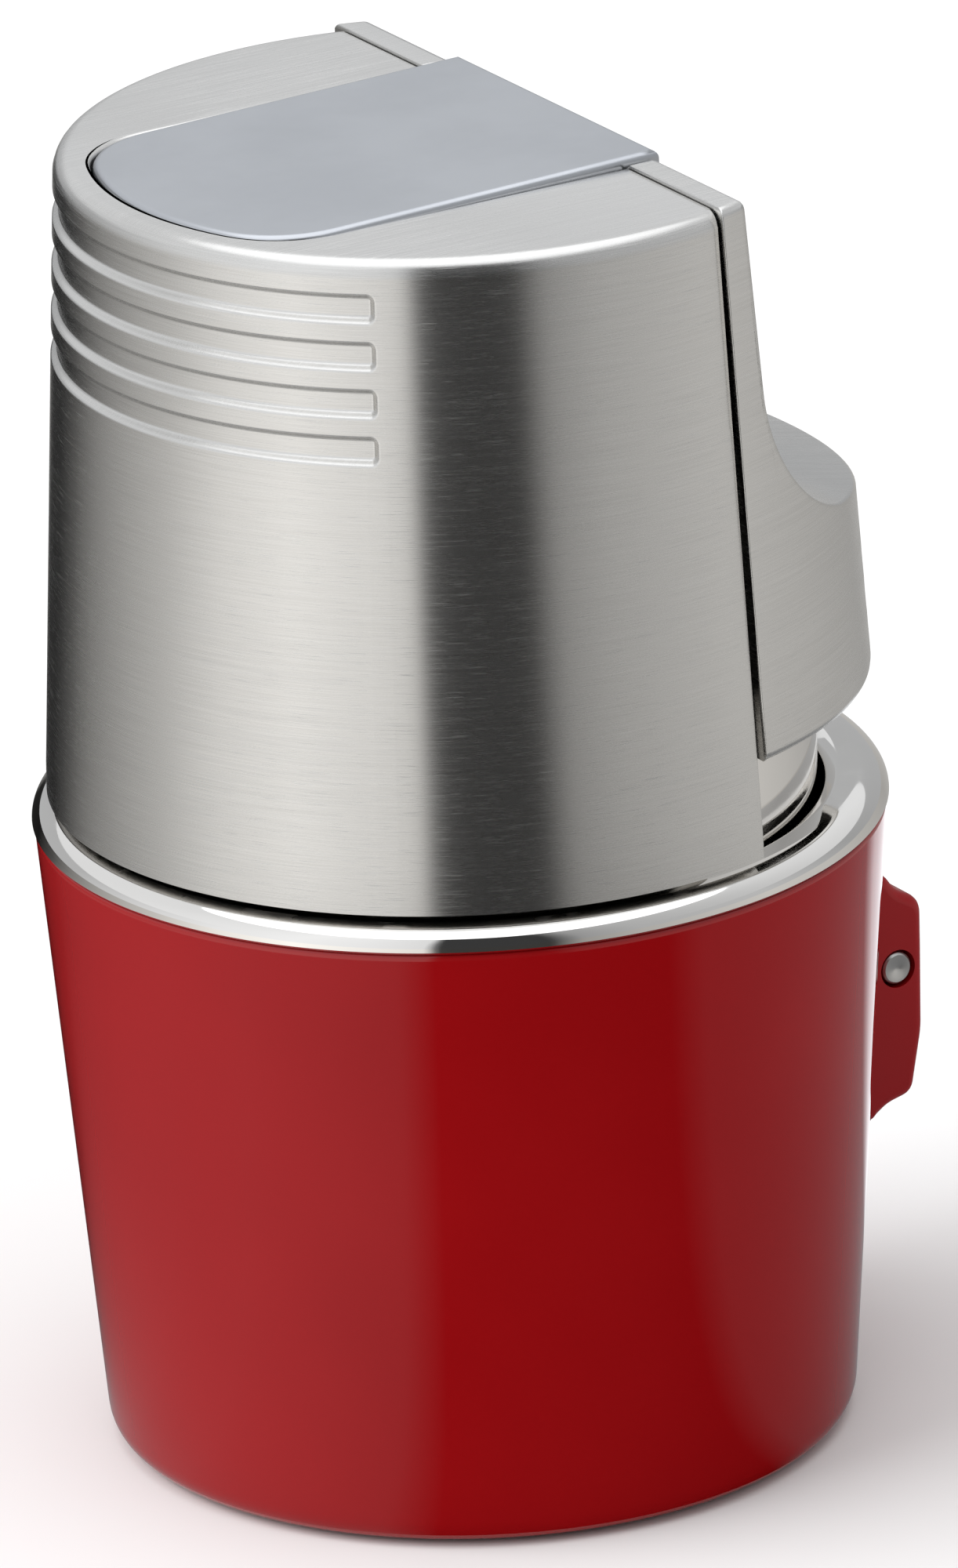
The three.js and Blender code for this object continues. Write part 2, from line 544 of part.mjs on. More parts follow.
function carriage() {
  const { rear, front, halfWidth, bottom, top, sleeveRadius, back } = CARRIAGE;
  const bar = join(
    block(rear, front, -halfWidth, halfWidth, bottom, top),
    ...[-1, 1].map((side) => post(ROD.x, side * ROD.y, sleeveRadius, bottom - 3.5, top - 1)),
    block(rear, rear + back, GEAR.y - 2.5, GEAR.y + 2.5, top - 1, RACK_SCREW.z + 4),
    block(rear, rear + back, -GEAR.y - 0.5, GEAR.y + 0.5, 60.6, bottom + 0.5),
  );
  return cut(bar,
    ...[-1, 1].map((side) => post(ROD.x, side * ROD.y, ROD.radius + GAP, 55, 70)),
    ...[-1, 1].map((side) => post(LEVER_SCREW.x, side * LEVER_SCREW.y, SCREW.hole, 60, 70)),
    alongX(8, 12, GEAR.y, RACK_SCREW.z, SCREW.hole));
}

// Toothed bar that turns the pinion as the lever goes down.
function rackBar() {
  const pitchX = WHEEL.x + (GEAR.module * GEAR.teeth) / 2;
  const pitch = Math.PI * GEAR.module;
  const [addendum, dedendum] = [GEAR.module * 0.9, GEAR.module * 1.25];
  const slant = Math.tan(degrees(GEAR.pressure));
  const half = pitch / 4 - GEAR.backlash / 2;
  const back = pitchX + 2.2;
  const [bottom, top] = [69.5, 92.6];
  const outline = [[back, bottom], [back, top], [pitchX + dedendum, top]];
  for (let i = 6; i >= -2; i -= 1) {
    const middle = WHEEL.z + (i + 0.5) * pitch;
    outline.push([pitchX + dedendum, middle + half + dedendum * slant],
      [pitchX - addendum, middle + half - addendum * slant],
      [pitchX - addendum, middle - half + addendum * slant],
      [pitchX + dedendum, middle - half - dedendum * slant]);
  }
  outline.push([pitchX + dedendum, bottom]);
  const bar = across(outline.reverse(), GEAR.y - GEAR.halfWidth, GEAR.y + GEAR.halfWidth);
  const pad = block(back - 0.5, 9.0, GEAR.y - 2.4, GEAR.y + 2.4, bottom, 75.5);
  return cut(join(bar, pad), alongX(0, 12, GEAR.y, RACK_SCREW.z, SCREW.hole));
}

function buildLever() {
  place("lever", "thumb_lever", thumbLever(), finish.brushed());
  place("lever", "lever_carriage", carriage(), finish.steel());
  place("lever", "lever_rack", rackBar(), finish.brass());
  ["right", "left"].forEach((name, i) => {
    const side = i === 0 ? -1 : 1;
    place("lever", `lever_screw_${name}`, screwShape(LEVER_SCREW.length), finish.steel(),
      [LEVER_SCREW.x, side * LEVER_SCREW.y, CARRIAGE.bottom - GAP]);
  });
  place("lever", "rack_screw", screwShape(RACK_SCREW.length, RACK_SCREW.headHeight), finish.steel(),
    [CARRIAGE.rear + CARRIAGE.back + GAP, GEAR.y, RACK_SCREW.z], [0, -HALF_TURN / 2, 0]);
}

// ---------------------------------------------------------------- lid: a flat flap over the burner
function flapLid() {
  const lean = degrees(LID.tilt);
  const topFront = 98.3;
  const plate = raised(lidOutline(0, LID.front), -LID.thick, 0).translate(-LID.front, 0, 0).rotateY(-lean)
    .translate(LID.front, 0, topFront);
  const { x, z, lug, pin } = LID_HINGE;
  const ears = [-1, 1].map((side) => {
    const [near, far] = [Math.min(side * 9.2, side * 11.8), Math.max(side * 9.2, side * 11.8)];
    return across([...arcPoints(x, z, lug, 180, 360, 8), [x + lug, z + 2.6], [x - lug, z + 2.6]], near, far);
  });
  return cut(join(plate, ...ears), crossBar(x, z, pin + GAP, -20, 20));
}

// ---------------------------------------------------------------- spark wheel and its pinion
function toothedWheel() {
  const { radius, teeth, halfWidth, axle } = WHEEL;
  const pitch = 360 / teeth;
  const outline = Array.from({ length: teeth }, (_, i) => [
    polar(radius, i * pitch),
    polar(radius - 0.5, (i + 0.75) * pitch),
  ]).flat();
  return cut(across(outline, -halfWidth, halfWidth), crossBar(0, 0, axle + GAP, -5, 5));
}

// Involute tooth flanks on a base circle; angles are measured from a tooth's middle.
function pinionGear() {
  const { module: size, teeth, pressure, halfWidth, backlash } = GEAR;
  const pitchRadius = (size * teeth) / 2;
  const baseRadius = pitchRadius * Math.cos(degrees(pressure));
  const involute = (angle) => Math.tan(angle) - angle;
  const halfTooth = (Math.PI * size / 2 - backlash) / (2 * pitchRadius);
  const halfAngleAt = (r) => halfTooth + involute(degrees(pressure)) - involute(Math.acos(baseRadius / r));
  const [root, tip] = [pitchRadius - 1.25 * size, pitchRadius + 0.85 * size];
  const radii = [baseRadius, baseRadius + 0.25, pitchRadius + 0.1, tip];
  const outline = [];
  for (let i = 0; i < teeth; i += 1) {
    const middle = (2 * Math.PI * i) / teeth;
    const at = (r, angle) => [r * Math.cos(middle + angle), r * Math.sin(middle + angle)];
    outline.push(at(root, -halfAngleAt(baseRadius) - 0.02));
    radii.forEach((r) => outline.push(at(r, -halfAngleAt(r))));
    [...radii].reverse().forEach((r) => outline.push(at(r, halfAngleAt(r))));
    outline.push(at(root, halfAngleAt(baseRadius) + 0.02));
  }
  return cut(across(outline, -halfWidth, halfWidth), crossBar(0, 0, WHEEL.axle + GAP, -5, 5));
}

function buildWheel() {
  place("wheel", "spark_wheel", toothedWheel(), finish.steel(), [WHEEL.x, 0, WHEEL.z]);
  place("wheel", "wheel_pinion", pinionGear(), finish.brass(), [WHEEL.x, GEAR.y, WHEEL.z]);
}

// ---------------------------------------------------------------- gas train
// Fork that lifts the burner's stem as the carriage reaches the end of its stroke.
function valveFork() {
  const { x, z, y, halfWidth, pin } = VALVE_ARM;
  const side = (sign) => across([[BURNER.x - 1.5, 56.4], [BURNER.x - 1.5, 55.4], [BURNER.x + 2.2, 53.2],
    [x, z - 1.7], [9.0, 53.0], [9.0, 54.2], [x + 2, z + 1.4], [x - 2, z + 1.4], [BURNER.x + 1.5, 56.4]],
  sign * y - halfWidth, sign * y + halfWidth);
  const front = block(7.6, 9.0, -y, y, 53.0, 54.2);
  const fingers = [-1, 1].map((sign) => block(BURNER.x - 1.2, BURNER.x + 1.2,
    Math.min(sign * 1.5, sign * y), Math.max(sign * 1.5, sign * y), 55.6, 56.4));
  return cut(join(side(-1), side(1), front, ...fingers), crossBar(x, z, pin + GAP, -6, 6));
}

function burnerStem() {
  const { stem, tip, collar } = BURNER;
  return turned([[0, 40], [stem, 40], [stem, collar], [2.2, collar], [2.2, collar + 1.2], [stem, collar + 1.2],
    [stem, tip - 2], [0.7, tip], [0, tip]], 16);
}

function adjusterScrew() {
  const body = turned([[0, 7.2], [2.6, 7.2], [2.6, 7.9], [2.0, 7.9], [2.0, 13], [0, 13]], 20);
  return cut(body, block(-3, 3, -0.3, 0.3, 6, 7.55));
}

function buildGasTrain() {
  place("valve_arm", "valve_fork", valveFork(), finish.steel());
  place("burner", "burner_stem", burnerStem(), finish.brass(), [BURNER.x, 0, 0]);
  place("refill", "refill_stem", turned([[0, 7.4], [1.0, 7.4], [1.0, 14.5], [0, 14.5]], 14), finish.brass(),
    [BURNER.x, 0, 0]);
  place("adjuster", "flame_adjuster", adjusterScrew(), finish.brass(), [11, 0, 0]);
}

buildBase();
place("latch", "latch_lever", latchRocker(), finish.lacquer());
buildHead();
buildLever();
place("lid", "lid", flapLid(), finish.brushed());
buildWheel();
buildGasTrain();

export default group;
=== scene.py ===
# Looks for the table lighter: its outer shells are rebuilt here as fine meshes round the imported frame,
# and every piece gets a procedural material. Metres, +Z up, +X towards the thumb lever.
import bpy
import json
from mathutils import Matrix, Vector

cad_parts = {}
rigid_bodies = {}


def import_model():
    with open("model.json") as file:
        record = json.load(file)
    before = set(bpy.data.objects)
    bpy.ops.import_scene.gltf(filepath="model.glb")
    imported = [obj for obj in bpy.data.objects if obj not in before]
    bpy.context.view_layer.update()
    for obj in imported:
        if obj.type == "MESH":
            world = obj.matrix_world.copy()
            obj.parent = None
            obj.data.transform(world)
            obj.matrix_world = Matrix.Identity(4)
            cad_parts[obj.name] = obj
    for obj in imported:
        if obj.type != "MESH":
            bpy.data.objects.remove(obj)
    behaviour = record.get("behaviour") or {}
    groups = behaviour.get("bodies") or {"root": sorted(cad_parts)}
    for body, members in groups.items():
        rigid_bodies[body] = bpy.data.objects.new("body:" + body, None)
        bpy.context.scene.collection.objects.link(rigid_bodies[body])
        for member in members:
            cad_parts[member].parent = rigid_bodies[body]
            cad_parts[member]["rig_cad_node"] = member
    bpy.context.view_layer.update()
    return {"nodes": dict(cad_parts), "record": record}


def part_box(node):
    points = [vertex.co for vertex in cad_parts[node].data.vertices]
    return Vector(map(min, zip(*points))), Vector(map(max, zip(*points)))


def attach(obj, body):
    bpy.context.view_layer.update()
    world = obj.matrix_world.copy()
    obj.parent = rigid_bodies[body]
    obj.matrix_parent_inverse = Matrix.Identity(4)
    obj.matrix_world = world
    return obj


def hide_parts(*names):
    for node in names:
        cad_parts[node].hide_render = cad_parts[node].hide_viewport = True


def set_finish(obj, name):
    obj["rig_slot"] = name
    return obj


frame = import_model()

import json
import math

import bmesh
import bpy
from mathutils import Matrix, Vector

MM = 0.001
QUARTER = math.pi / 2


# ---------------------------------------------------------------- sizes, from the frame
def low(node):
    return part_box(node)[0]


def high(node):
    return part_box(node)[1]


# Some edges reach a little into the gaps round the rim, which are slimmer here than between the solids.
CUP_LIP_RISE = 0.3 * MM
RIM_CREST_RISE = 0.45 * MM
CASING_FOOT_DROP = 0.25 * MM
LEVER_FOOT_DROP = 0.5 * MM

FIT = 0.3 * MM
FINE_EDGE = 0.1 * MM
SMALL_EDGE = 0.2 * MM

CUP_TOP = high("base_cup").z + CUP_LIP_RISE
CUP_RADIUS = high("base_cup").y
CUP_FOOT = low("base_cup").z
CUP_FLARE = 0.0765
CUP_WALL = 1.8 * MM
CUP_FLOOR = 3.6 * MM
CUP_FOOT_EDGE = 2.2 * MM
CUP_LIP_EDGE = 0.45 * MM
PAD_TOP = high("base_pad").z

RIM_RADIUS = high("cup_rim").y
RIM_TOP = high("cup_rim").z
RIM_HOLE = 26.3 * MM
RIM_SHOULDER = 2.3 * MM

CASING_BOTTOM = low("casing").z - CASING_FOOT_DROP
CASING_TOP = high("casing").z
CASING_RADIUS = high("casing").y
CASING_TAPER = 0.0546
CASING_WALL = 1.3 * MM
CASING_EDGE = 1.1 * MM
CASING_LIP = 0.4 * MM
PARTING_BOTTOM_X = high("casing").x
PARTING_SLOPE = 0.0146
PARTING_EDGE = 0.12 * MM

GROOVE_COUNT = 4
GROOVE_FIRST = 95.0 * MM
GROOVE_PITCH = 3.45 * MM
GROOVE_HEIGHT = 1.75 * MM
GROOVE_DEPTH = 0.5 * MM
GROOVE_WALL = 0.52 * MM
GROOVE_CORNER = 0.4 * MM
GROOVE_END = math.radians(130.5)
GROOVE_TOPS = [GROOVE_FIRST - GROOVE_PITCH * i for i in range(GROOVE_COUNT)]

LEVER_BOTTOM = low("thumb_lever").z - LEVER_FOOT_DROP
LEVER_TOP = high("thumb_lever").z
LEVER_PROUD = 0.5 * MM
LEVER_WALL = 1.4 * MM
LEVER_GAP = 0.12 * MM
LEVER_GAP_SLOPE = 0.0085
LEVER_TOP_EDGE = 0.7 * MM
LEVER_FOOT_EDGE = 0.75 * MM
NOTCH_EDGE = 0.5 * MM
FACE_X = 10.0 * MM
SCOOP_X = 23.8 * MM
SCOOP_Z = 84.2 * MM
SCOOP_RADIUS = 13.0 * MM
LEDGE_SLOPE = math.radians(12)
HOLLOW_TOP = 82.5 * MM
HOLLOW_BOTTOM = 50 * MM

LID_SIDE = high("lid").y
LID_FRONT = high("lid").x
LID_TOP = high("lid").z
LID_REAR = 24.6 * MM
LID_CORNER = 7.0 * MM
LID_THICK = 1.3 * MM
LID_EDGE = 0.55 * MM
LID_TILT = math.radians(1.1)
LID_DECK = 96.4 * MM
LID_GAP = 0.16 * MM
EAR_RADIUS = 1.9 * MM
EAR_BORE = 0.95 * MM
EAR_WIDTH = 2.6 * MM

SLEEVE_RADIUS = high("chassis_sleeve").y
LATCH_SIDE = high("latch_lever").y
LATCH_EDGE = 0.85 * MM
LATCH_ROOT = 31.9 * MM
SLOT_LOW = 30.4 * MM
SLOT_HIGH = 34.6 * MM
SLOT_HALF = 2.9 * MM
NOSE_HALF = 2.5 * MM

# The latch from the side, in millimetres: (x, z, rounding) of its shell, then (x, z) of its pocket and nose.
LATCH_CORNERS = (
    (31.1, 35.5, 0.6), (30.9, 25.3, 0.3), (31.25, 24.0, 0.3), (31.25, 16.2, 0.2),
    (31.5, 16.1, 0.3), (33.0, 17.1, 3), (35.2, 17.6, 1.4), (36.2, 22.5, 8),
    (36.35, 29.0, 8), (36.4, 32.6, 1.8), (34.3, 33.7, 3), (33.3, 35.2, 1.6),
)
LATCH_POCKET = ((25, 30.4), (34.7, 30.4), (34.8, 24.0), (34.2, 19.4), (25, 19.4))
LATCH_NOSE = ((25.0, 30.8), (32, 30.8), (32, 32.3), (25.6, 32.3))
PIN_X = (low("latch_pin").x + high("latch_pin").x) / 2
PIN_Z = (low("latch_pin").z + high("latch_pin").z) / 2
PIN_RADIUS = (high("latch_pin").z - low("latch_pin").z) / 2


def cup_radius(z):
    return CUP_RADIUS - CUP_FLARE * (CUP_TOP - z)


def casing_radius(z):
    return CASING_RADIUS - CASING_TAPER * (z - CASING_BOTTOM)


def lever_radius(z):
    return casing_radius(z) + LEVER_PROUD


def parting_x(z):
    return PARTING_BOTTOM_X - PARTING_SLOPE * (z - CASING_BOTTOM)


def lever_back_x(z):
    return parting_x(z) + LEVER_GAP + LEVER_GAP_SLOPE * (LEVER_TOP - z)


# ---------------------------------------------------------------- mesh helpers
def add_object(name, mesh):
    obj = bpy.data.objects.new(name, mesh)
    bpy.context.scene.collection.objects.link(obj)
    return obj


def closed_mesh(name, verts, faces, merge=0.0):
    """A mesh with its faces turned outwards, and with points merged that are nearer than a distance."""
    mesh = bpy.data.meshes.new(name)
    mesh.from_pydata([tuple(v) for v in verts], [], faces)
    mesh.validate()
    work = bmesh.new()
    work.from_mesh(mesh)
    if merge > 0:
        bmesh.ops.remove_doubles(work, verts=work.verts, dist=merge)
    bmesh.ops.recalc_face_normals(work, faces=work.faces)
    work.to_mesh(mesh)
    work.free()
    return mesh


def piece(name, verts, faces, body, slot, replaced=(), sharp=38):
    """A mesh piece that rides on a body, smooth except across edges sharper than an angle."""
    mesh = closed_mesh(name, verts, faces, merge=1e-7)
    mesh.shade_smooth()
    mesh.set_sharp_from_angle(angle=math.radians(sharp))
    obj = add_object(name, mesh)
    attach(obj, body)
    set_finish(obj, slot)
    if replaced:
        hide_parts(*replaced)
    return obj


def between(first, last, fraction):
    """The point at a fraction of the way from one point to another."""
    return tuple(a + (b - a) * fraction for a, b in zip(first, last))


def arc(x, y, radius, start, end, steps):
    """Points of an arc from one angle to another, in degrees."""
    angles = [math.radians(start + (end - start) * i / steps) for i in range(steps + 1)]
    return [(x + radius * math.cos(a), y + radius * math.sin(a)) for a in angles]


def circle(radius, z, steps):
    """Points round the Z axis."""
    turns = [2 * math.pi * i / steps for i in range(steps)]
    return [(radius * math.cos(turn), radius * math.sin(turn), z) for turn in turns]


def rounded(corners, steps):
    """A closed outline with each (x, y, radius) corner replaced by a tangent arc."""
    points = []
    count = len(corners)
    for i, (x, y, radius) in enumerate(corners):
        here = Vector((x, y))
        before = Vector(corners[i - 1][:2]) - here
        after = Vector(corners[(i + 1) % count][:2]) - here
        if radius <= 0 or before.length == 0 or after.length == 0:
            points.append((x, y))
            continue
        half = before.angle(after) / 2
        reach = min(radius / math.tan(half), 0.49 * before.length, 0.49 * after.length)
        start = here + before.normalized() * reach
        end = here + after.normalized() * reach
        for k in range(steps + 1):
            t = k / steps
            points.append(tuple(start * (1 - t) ** 2 + here * 2 * t * (1 - t) + end * t ** 2))
    return points


def refine(profile, step):
    """Adds points so that no stretch of a closed outline is longer than a step."""
    points = []
    for i, (x, y) in enumerate(profile):
        nx, ny = profile[(i + 1) % len(profile)]
        parts = max(1, math.ceil(math.hypot(nx - x, ny - y) / step))
        points += [(x + (nx - x) * k / parts, y + (ny - y) * k / parts) for k in range(parts)]
    return points


def strip_faces(rows, columns, close_rows=False, close_columns=False):
    """Quads over a grid of vertices numbered row by row."""
    faces = []
    for i in range(rows if close_rows else rows - 1):
        for j in range(columns if close_columns else columns - 1):
            a, b = i * columns + j, i * columns + (j + 1) % columns
            c, d = ((i + 1) % rows) * columns + (j + 1) % columns, ((i + 1) % rows) * columns + j
            faces.append((a, b, c, d))
    return faces


def lathe(name, profile, body, slot, replaced, segments):
    """Turns a profile of (radius, z) points about the Z axis; it closes on itself or ends on the axis."""
    verts = []
    for i in range(segments):
        angle = 2 * math.pi * i / segments
        verts += [(r * math.cos(angle), r * math.sin(angle), z) for r, z in profile]
    faces = strip_faces(segments, len(profile), close_rows=True, close_columns=True)
    return piece(name, verts, faces, body, slot, replaced)


def capped(count):
    """Faces of a solid between two outlines of count points each."""
    faces = [tuple(range(count)), tuple(range(2 * count - 1, count - 1, -1))]
    return faces + [(i, (i + 1) % count, count + (i + 1) % count, count + i) for i in range(count)]


def spread(outline, start, end):
    """An outline of (x, z) points, set at two places along Y."""
    return [(x, y, z) for y in (start, end) for x, z in outline]


def prism(name, outline, start, end):
    """A solid for a boolean cut: an outline of (x, z) points spread across Y from start to end."""
    return add_object(name, closed_mesh(name, spread(outline, start, end), capped(len(outline))))


def bake(obj):
    """Applies the object's modifiers to its mesh."""
    bpy.context.view_layer.update()
    shaped = obj.evaluated_get(bpy.context.evaluated_depsgraph_get())
    mesh = bpy.data.meshes.new_from_object(shaped)
    old = obj.data
    obj.modifiers.clear()
    obj.data = mesh
    bpy.data.meshes.remove(old)


def combine(obj, tool, operation):
    """Applies a boolean with a tool to the object's mesh, and removes the tool."""
    modifier = obj.modifiers.new("combine", "BOOLEAN")
    modifier.operation = operation
    modifier.solver = "EXACT"
    modifier.object = tool
    bake(obj)
    bpy.data.objects.remove(tool)


def carve(obj, *tools):
    """Cuts the tools out of the object's mesh."""
    for tool in tools:
        combine(obj, tool, "DIFFERENCE")


def soften(obj, width, angle=35):
    """Rounds the edges sharper than an angle and keeps the flat faces flat."""
    bevel = obj.modifiers.new("round", "BEVEL")
    bevel.width = width
    bevel.segments = 2
    bevel.limit_method = "ANGLE"
    bevel.angle_limit = math.radians(angle)
    bevel.miter_outer = "MITER_ARC"
    flatten(obj)


def flatten(obj):
    """Takes smooth shading from the large faces, so that flat ones look flat."""
    obj.modifiers.new("flat", "WEIGHTED_NORMAL").keep_sharp = True


def round_marked(obj, width_at):
    """Rounds an object's sharp edges by the width a function gives at each edge's middle."""
    widest = 1.0 * MM
    work = bmesh.new()
    work.from_mesh(obj.data)
    weight = work.edges.layers.float.new("bevel_weight_edge")
    for edge in work.edges:
        if len(edge.link_faces) == 2 and edge.calc_face_angle(0) > math.radians(30):
            edge[weight] = width_at((edge.verts[0].co + edge.verts[1].co) / 2) / widest
    work.to_mesh(obj.data)
    work.free()
    bevel = obj.modifiers.new("round", "BEVEL")
    bevel.width = widest
    bevel.segments = 4
    bevel.limit_method = "WEIGHT"
    bevel.use_clamp_overlap = False
    bevel.miter_outer = "MITER_ARC"
    bake(obj)
    obj.data.set_sharp_from_angle(angle=math.radians(40))
    flatten(obj)


def smooth_step(x):
    x = max(0.0, min(1.0, x))
    return x * x * (3 - 2 * x)


# ---------------------------------------------------------------- the cup and its rim
def build_cup():
    pocket_radius = high("base_pad").x + FIT
    pocket_top = PAD_TOP + FIT
    profile = rounded([
        (0, pocket_top, 0), (pocket_radius, pocket_top, 0), (pocket_radius, CUP_FOOT, SMALL_EDGE),
        (cup_radius(CUP_FOOT), CUP_FOOT, CUP_FOOT_EDGE), (CUP_RADIUS, CUP_TOP, CUP_LIP_EDGE),
        (CUP_RADIUS - CUP_WALL, CUP_TOP, FINE_EDGE),
        (cup_radius(CUP_FLOOR) - CUP_WALL, CUP_FLOOR, 2.5 * MM), (0, CUP_FLOOR, 0),
    ], 8)
    cup = lathe("cup", refine(profile, 3 * MM), "base", "red_lacquer", ["base_cup"], 256)
    inside, outside = 20 * MM, 40 * MM
    slot = [(inside, SLOT_LOW), (outside, SLOT_LOW), (outside, SLOT_HIGH), (inside, SLOT_HIGH)]
    carve(cup, prism("slot", slot, -SLOT_HALF, SLOT_HALF))


def build_rim():
    """The chrome ring: a skirt inside the cup, a round shoulder over its lip and a soft edge to the hole."""
    under = CUP_TOP + 0.02 * MM
    skirt = low("cup_rim").z
    skirt_radius = cup_radius(skirt) - CUP_WALL - FIT
    crest = RIM_TOP + RIM_CREST_RISE
    tall = crest - under - SMALL_EDGE
    steps = 14
    turns = [QUARTER * k / steps for k in range(steps + 1)]
    shoulder = [(RIM_RADIUS - RIM_SHOULDER * (1 - math.cos(turn)), crest - tall * (1 - math.sin(turn)))
                for turn in turns]
    foot = rounded([
        (RIM_HOLE, skirt, FINE_EDGE), (skirt_radius, skirt, FINE_EDGE), (skirt_radius, under, 0),
        (RIM_RADIUS - SMALL_EDGE, under, 0),
    ], 4)
    mouth = rounded([
        shoulder[-1] + (0,), (RIM_HOLE + 1.0 * MM, crest - 0.03 * MM, 0.8 * MM),
        (RIM_HOLE, crest - 0.6 * MM, 0.6 * MM), foot[0] + (0,),
    ], 6)
    lathe("rim", foot + shoulder + mouth[1:-1], "base", "polished_chrome", ["cup_rim"], 256)


def build_sleeve():
    bottom, top = low("chassis_sleeve").z, high("chassis_sleeve").z
    flange = bottom + 0.6 * MM
    hole = SLEEVE_RADIUS - 2.3 * MM
    inner = SLEEVE_RADIUS - 1.0 * MM
    profile = rounded([
        (hole, bottom, 0), (SLEEVE_RADIUS, bottom, 0.4 * MM), (SLEEVE_RADIUS, top, SMALL_EDGE),
        (inner, top, SMALL_EDGE), (inner, flange, 0), (hole, flange, 0),
    ], 4)
    lathe("sleeve", refine(profile, 4 * MM), "head", "polished_chrome", ["chassis_sleeve"], 192)


def build_pad():
    radius = high("base_pad").y
    profile = rounded([(0, 0, 0), (radius, 0, 0.3 * MM), (radius, PAD_TOP, SMALL_EDGE), (0, PAD_TOP, 0)], 4)
    lathe("felt_pad", refine(profile, 2 * MM), "base", "felt", ["base_pad"], 128)


# ---------------------------------------------------------------- the casing
def groove_depth(azimuth, z):
    """How deep the finger grooves are at a place on the casing: channels with round-cornered ends."""
    along = (azimuth - GROOVE_END) if azimuth < math.pi else (2 * math.pi - GROOVE_END - azimuth)
    along *= casing_radius(z)
    for top in GROOVE_TOPS:
        middle = top - GROOVE_HEIGHT / 2
        if abs(z - middle) <= GROOVE_HEIGHT:
            dx = GROOVE_CORNER - along
            dz = abs(z - middle) - (GROOVE_HEIGHT / 2 - GROOVE_CORNER)
            outside = math.hypot(max(dx, 0), max(dz, 0)) + min(max(dx, dz), 0) - GROOVE_CORNER
            return GROOVE_DEPTH * smooth_step(0.5 - outside / GROOVE_WALL)
    return 0.0


def lid_outline(clearance, front):
    """The lid's plan, widened by a clearance, from its front +Y corner round the rear to the -Y one."""
    steps, sides = 10, 26
    corner_y = LID_SIDE - LID_CORNER
    corner_x = -math.sqrt((LID_REAR - LID_CORNER) ** 2 - corner_y ** 2)
    rear = math.degrees(math.atan2(corner_y, -corner_x))
    side = LID_SIDE + clearance
    straight = [(front + (corner_x - front) * i / sides, side) for i in range(sides)]
    first = arc(corner_x, corner_y, LID_CORNER + clearance, 90, 180 - rear, steps)
    back = arc(0, 0, LID_REAR + clearance, 180 - rear, 180 + rear, 4 * steps)
    last = arc(corner_x, -corner_y, LID_CORNER + clearance, 180 + rear, 270, steps)
    return straight + first + back[1:-1] + last + [(x, -y) for x, y in reversed(straight)]


def along_line(points, fraction):
    """The point at a fraction of a polyline's length."""
    lengths = [math.dist(a, b) for a, b in zip(points, points[1:])]
    left = fraction * sum(lengths)
    for a, b, length in zip(points, points[1:], lengths):
        if left <= length and length > 0:
            return between(a, b, left / length)
        left -= length
    return points[-1]


def casing_heights():
    """Heights of the rows on the outer wall, close together at the grooves' edges."""
    heights = set()
    for top in GROOVE_TOPS:
        for edge in (top, top - GROOVE_HEIGHT):
            heights.update(edge + GROOVE_WALL * k / 6 for k in range(-4, 5))
        heights.update(top - GROOVE_HEIGHT * k / 5 for k in (1, 2, 3, 4))
        heights.update(top - GROOVE_HEIGHT - (GROOVE_PITCH - GROOVE_HEIGHT) * k / 4 for k in (1, 2, 3))
    low_end, high_end = CASING_BOTTOM, CASING_TOP - CASING_EDGE
    plain = [low_end + (min(heights) - low_end) * k / 16 for k in range(16)]
    upper = [max(heights) + (high_end - max(heights)) * k / 4 for k in range(1, 5)]
    return sorted(set(plain) | heights | set(upper))


def casing_stations():
    """Fractions round the casing, close together at the grooves' ends."""
    start = math.acos(parting_x(CASING_TOP) / casing_radius(CASING_TOP))
    total = 2 * math.pi - 2 * start
    coarse, fine = 150, 12
    fractions = {k / coarse for k in range(coarse + 1)}
    for end in (GROOVE_END, 2 * math.pi - GROOVE_END):
        middle = (end - start) / total
        pitch = 0.06 * MM / casing_radius(GROOVE_TOPS[1]) / total
        fractions = {f for f in fractions if abs(f - middle) > (fine + 1) * pitch}
        fractions.update(middle + pitch * k for k in range(-fine, fine + 1))
    return sorted(fractions)


def on_wall(fraction, radius, z, grooved=True):
    """A place on one of the casing's round walls, at a fraction of the way between its parting edges."""
    first = math.acos(min(1.0, parting_x(z) / radius))
    azimuth = first + fraction * (2 * math.pi - 2 * first)
    if grooved:
        radius -= groove_depth(azimuth, z)
    return (radius * math.cos(azimuth), radius * math.sin(azimuth), z)


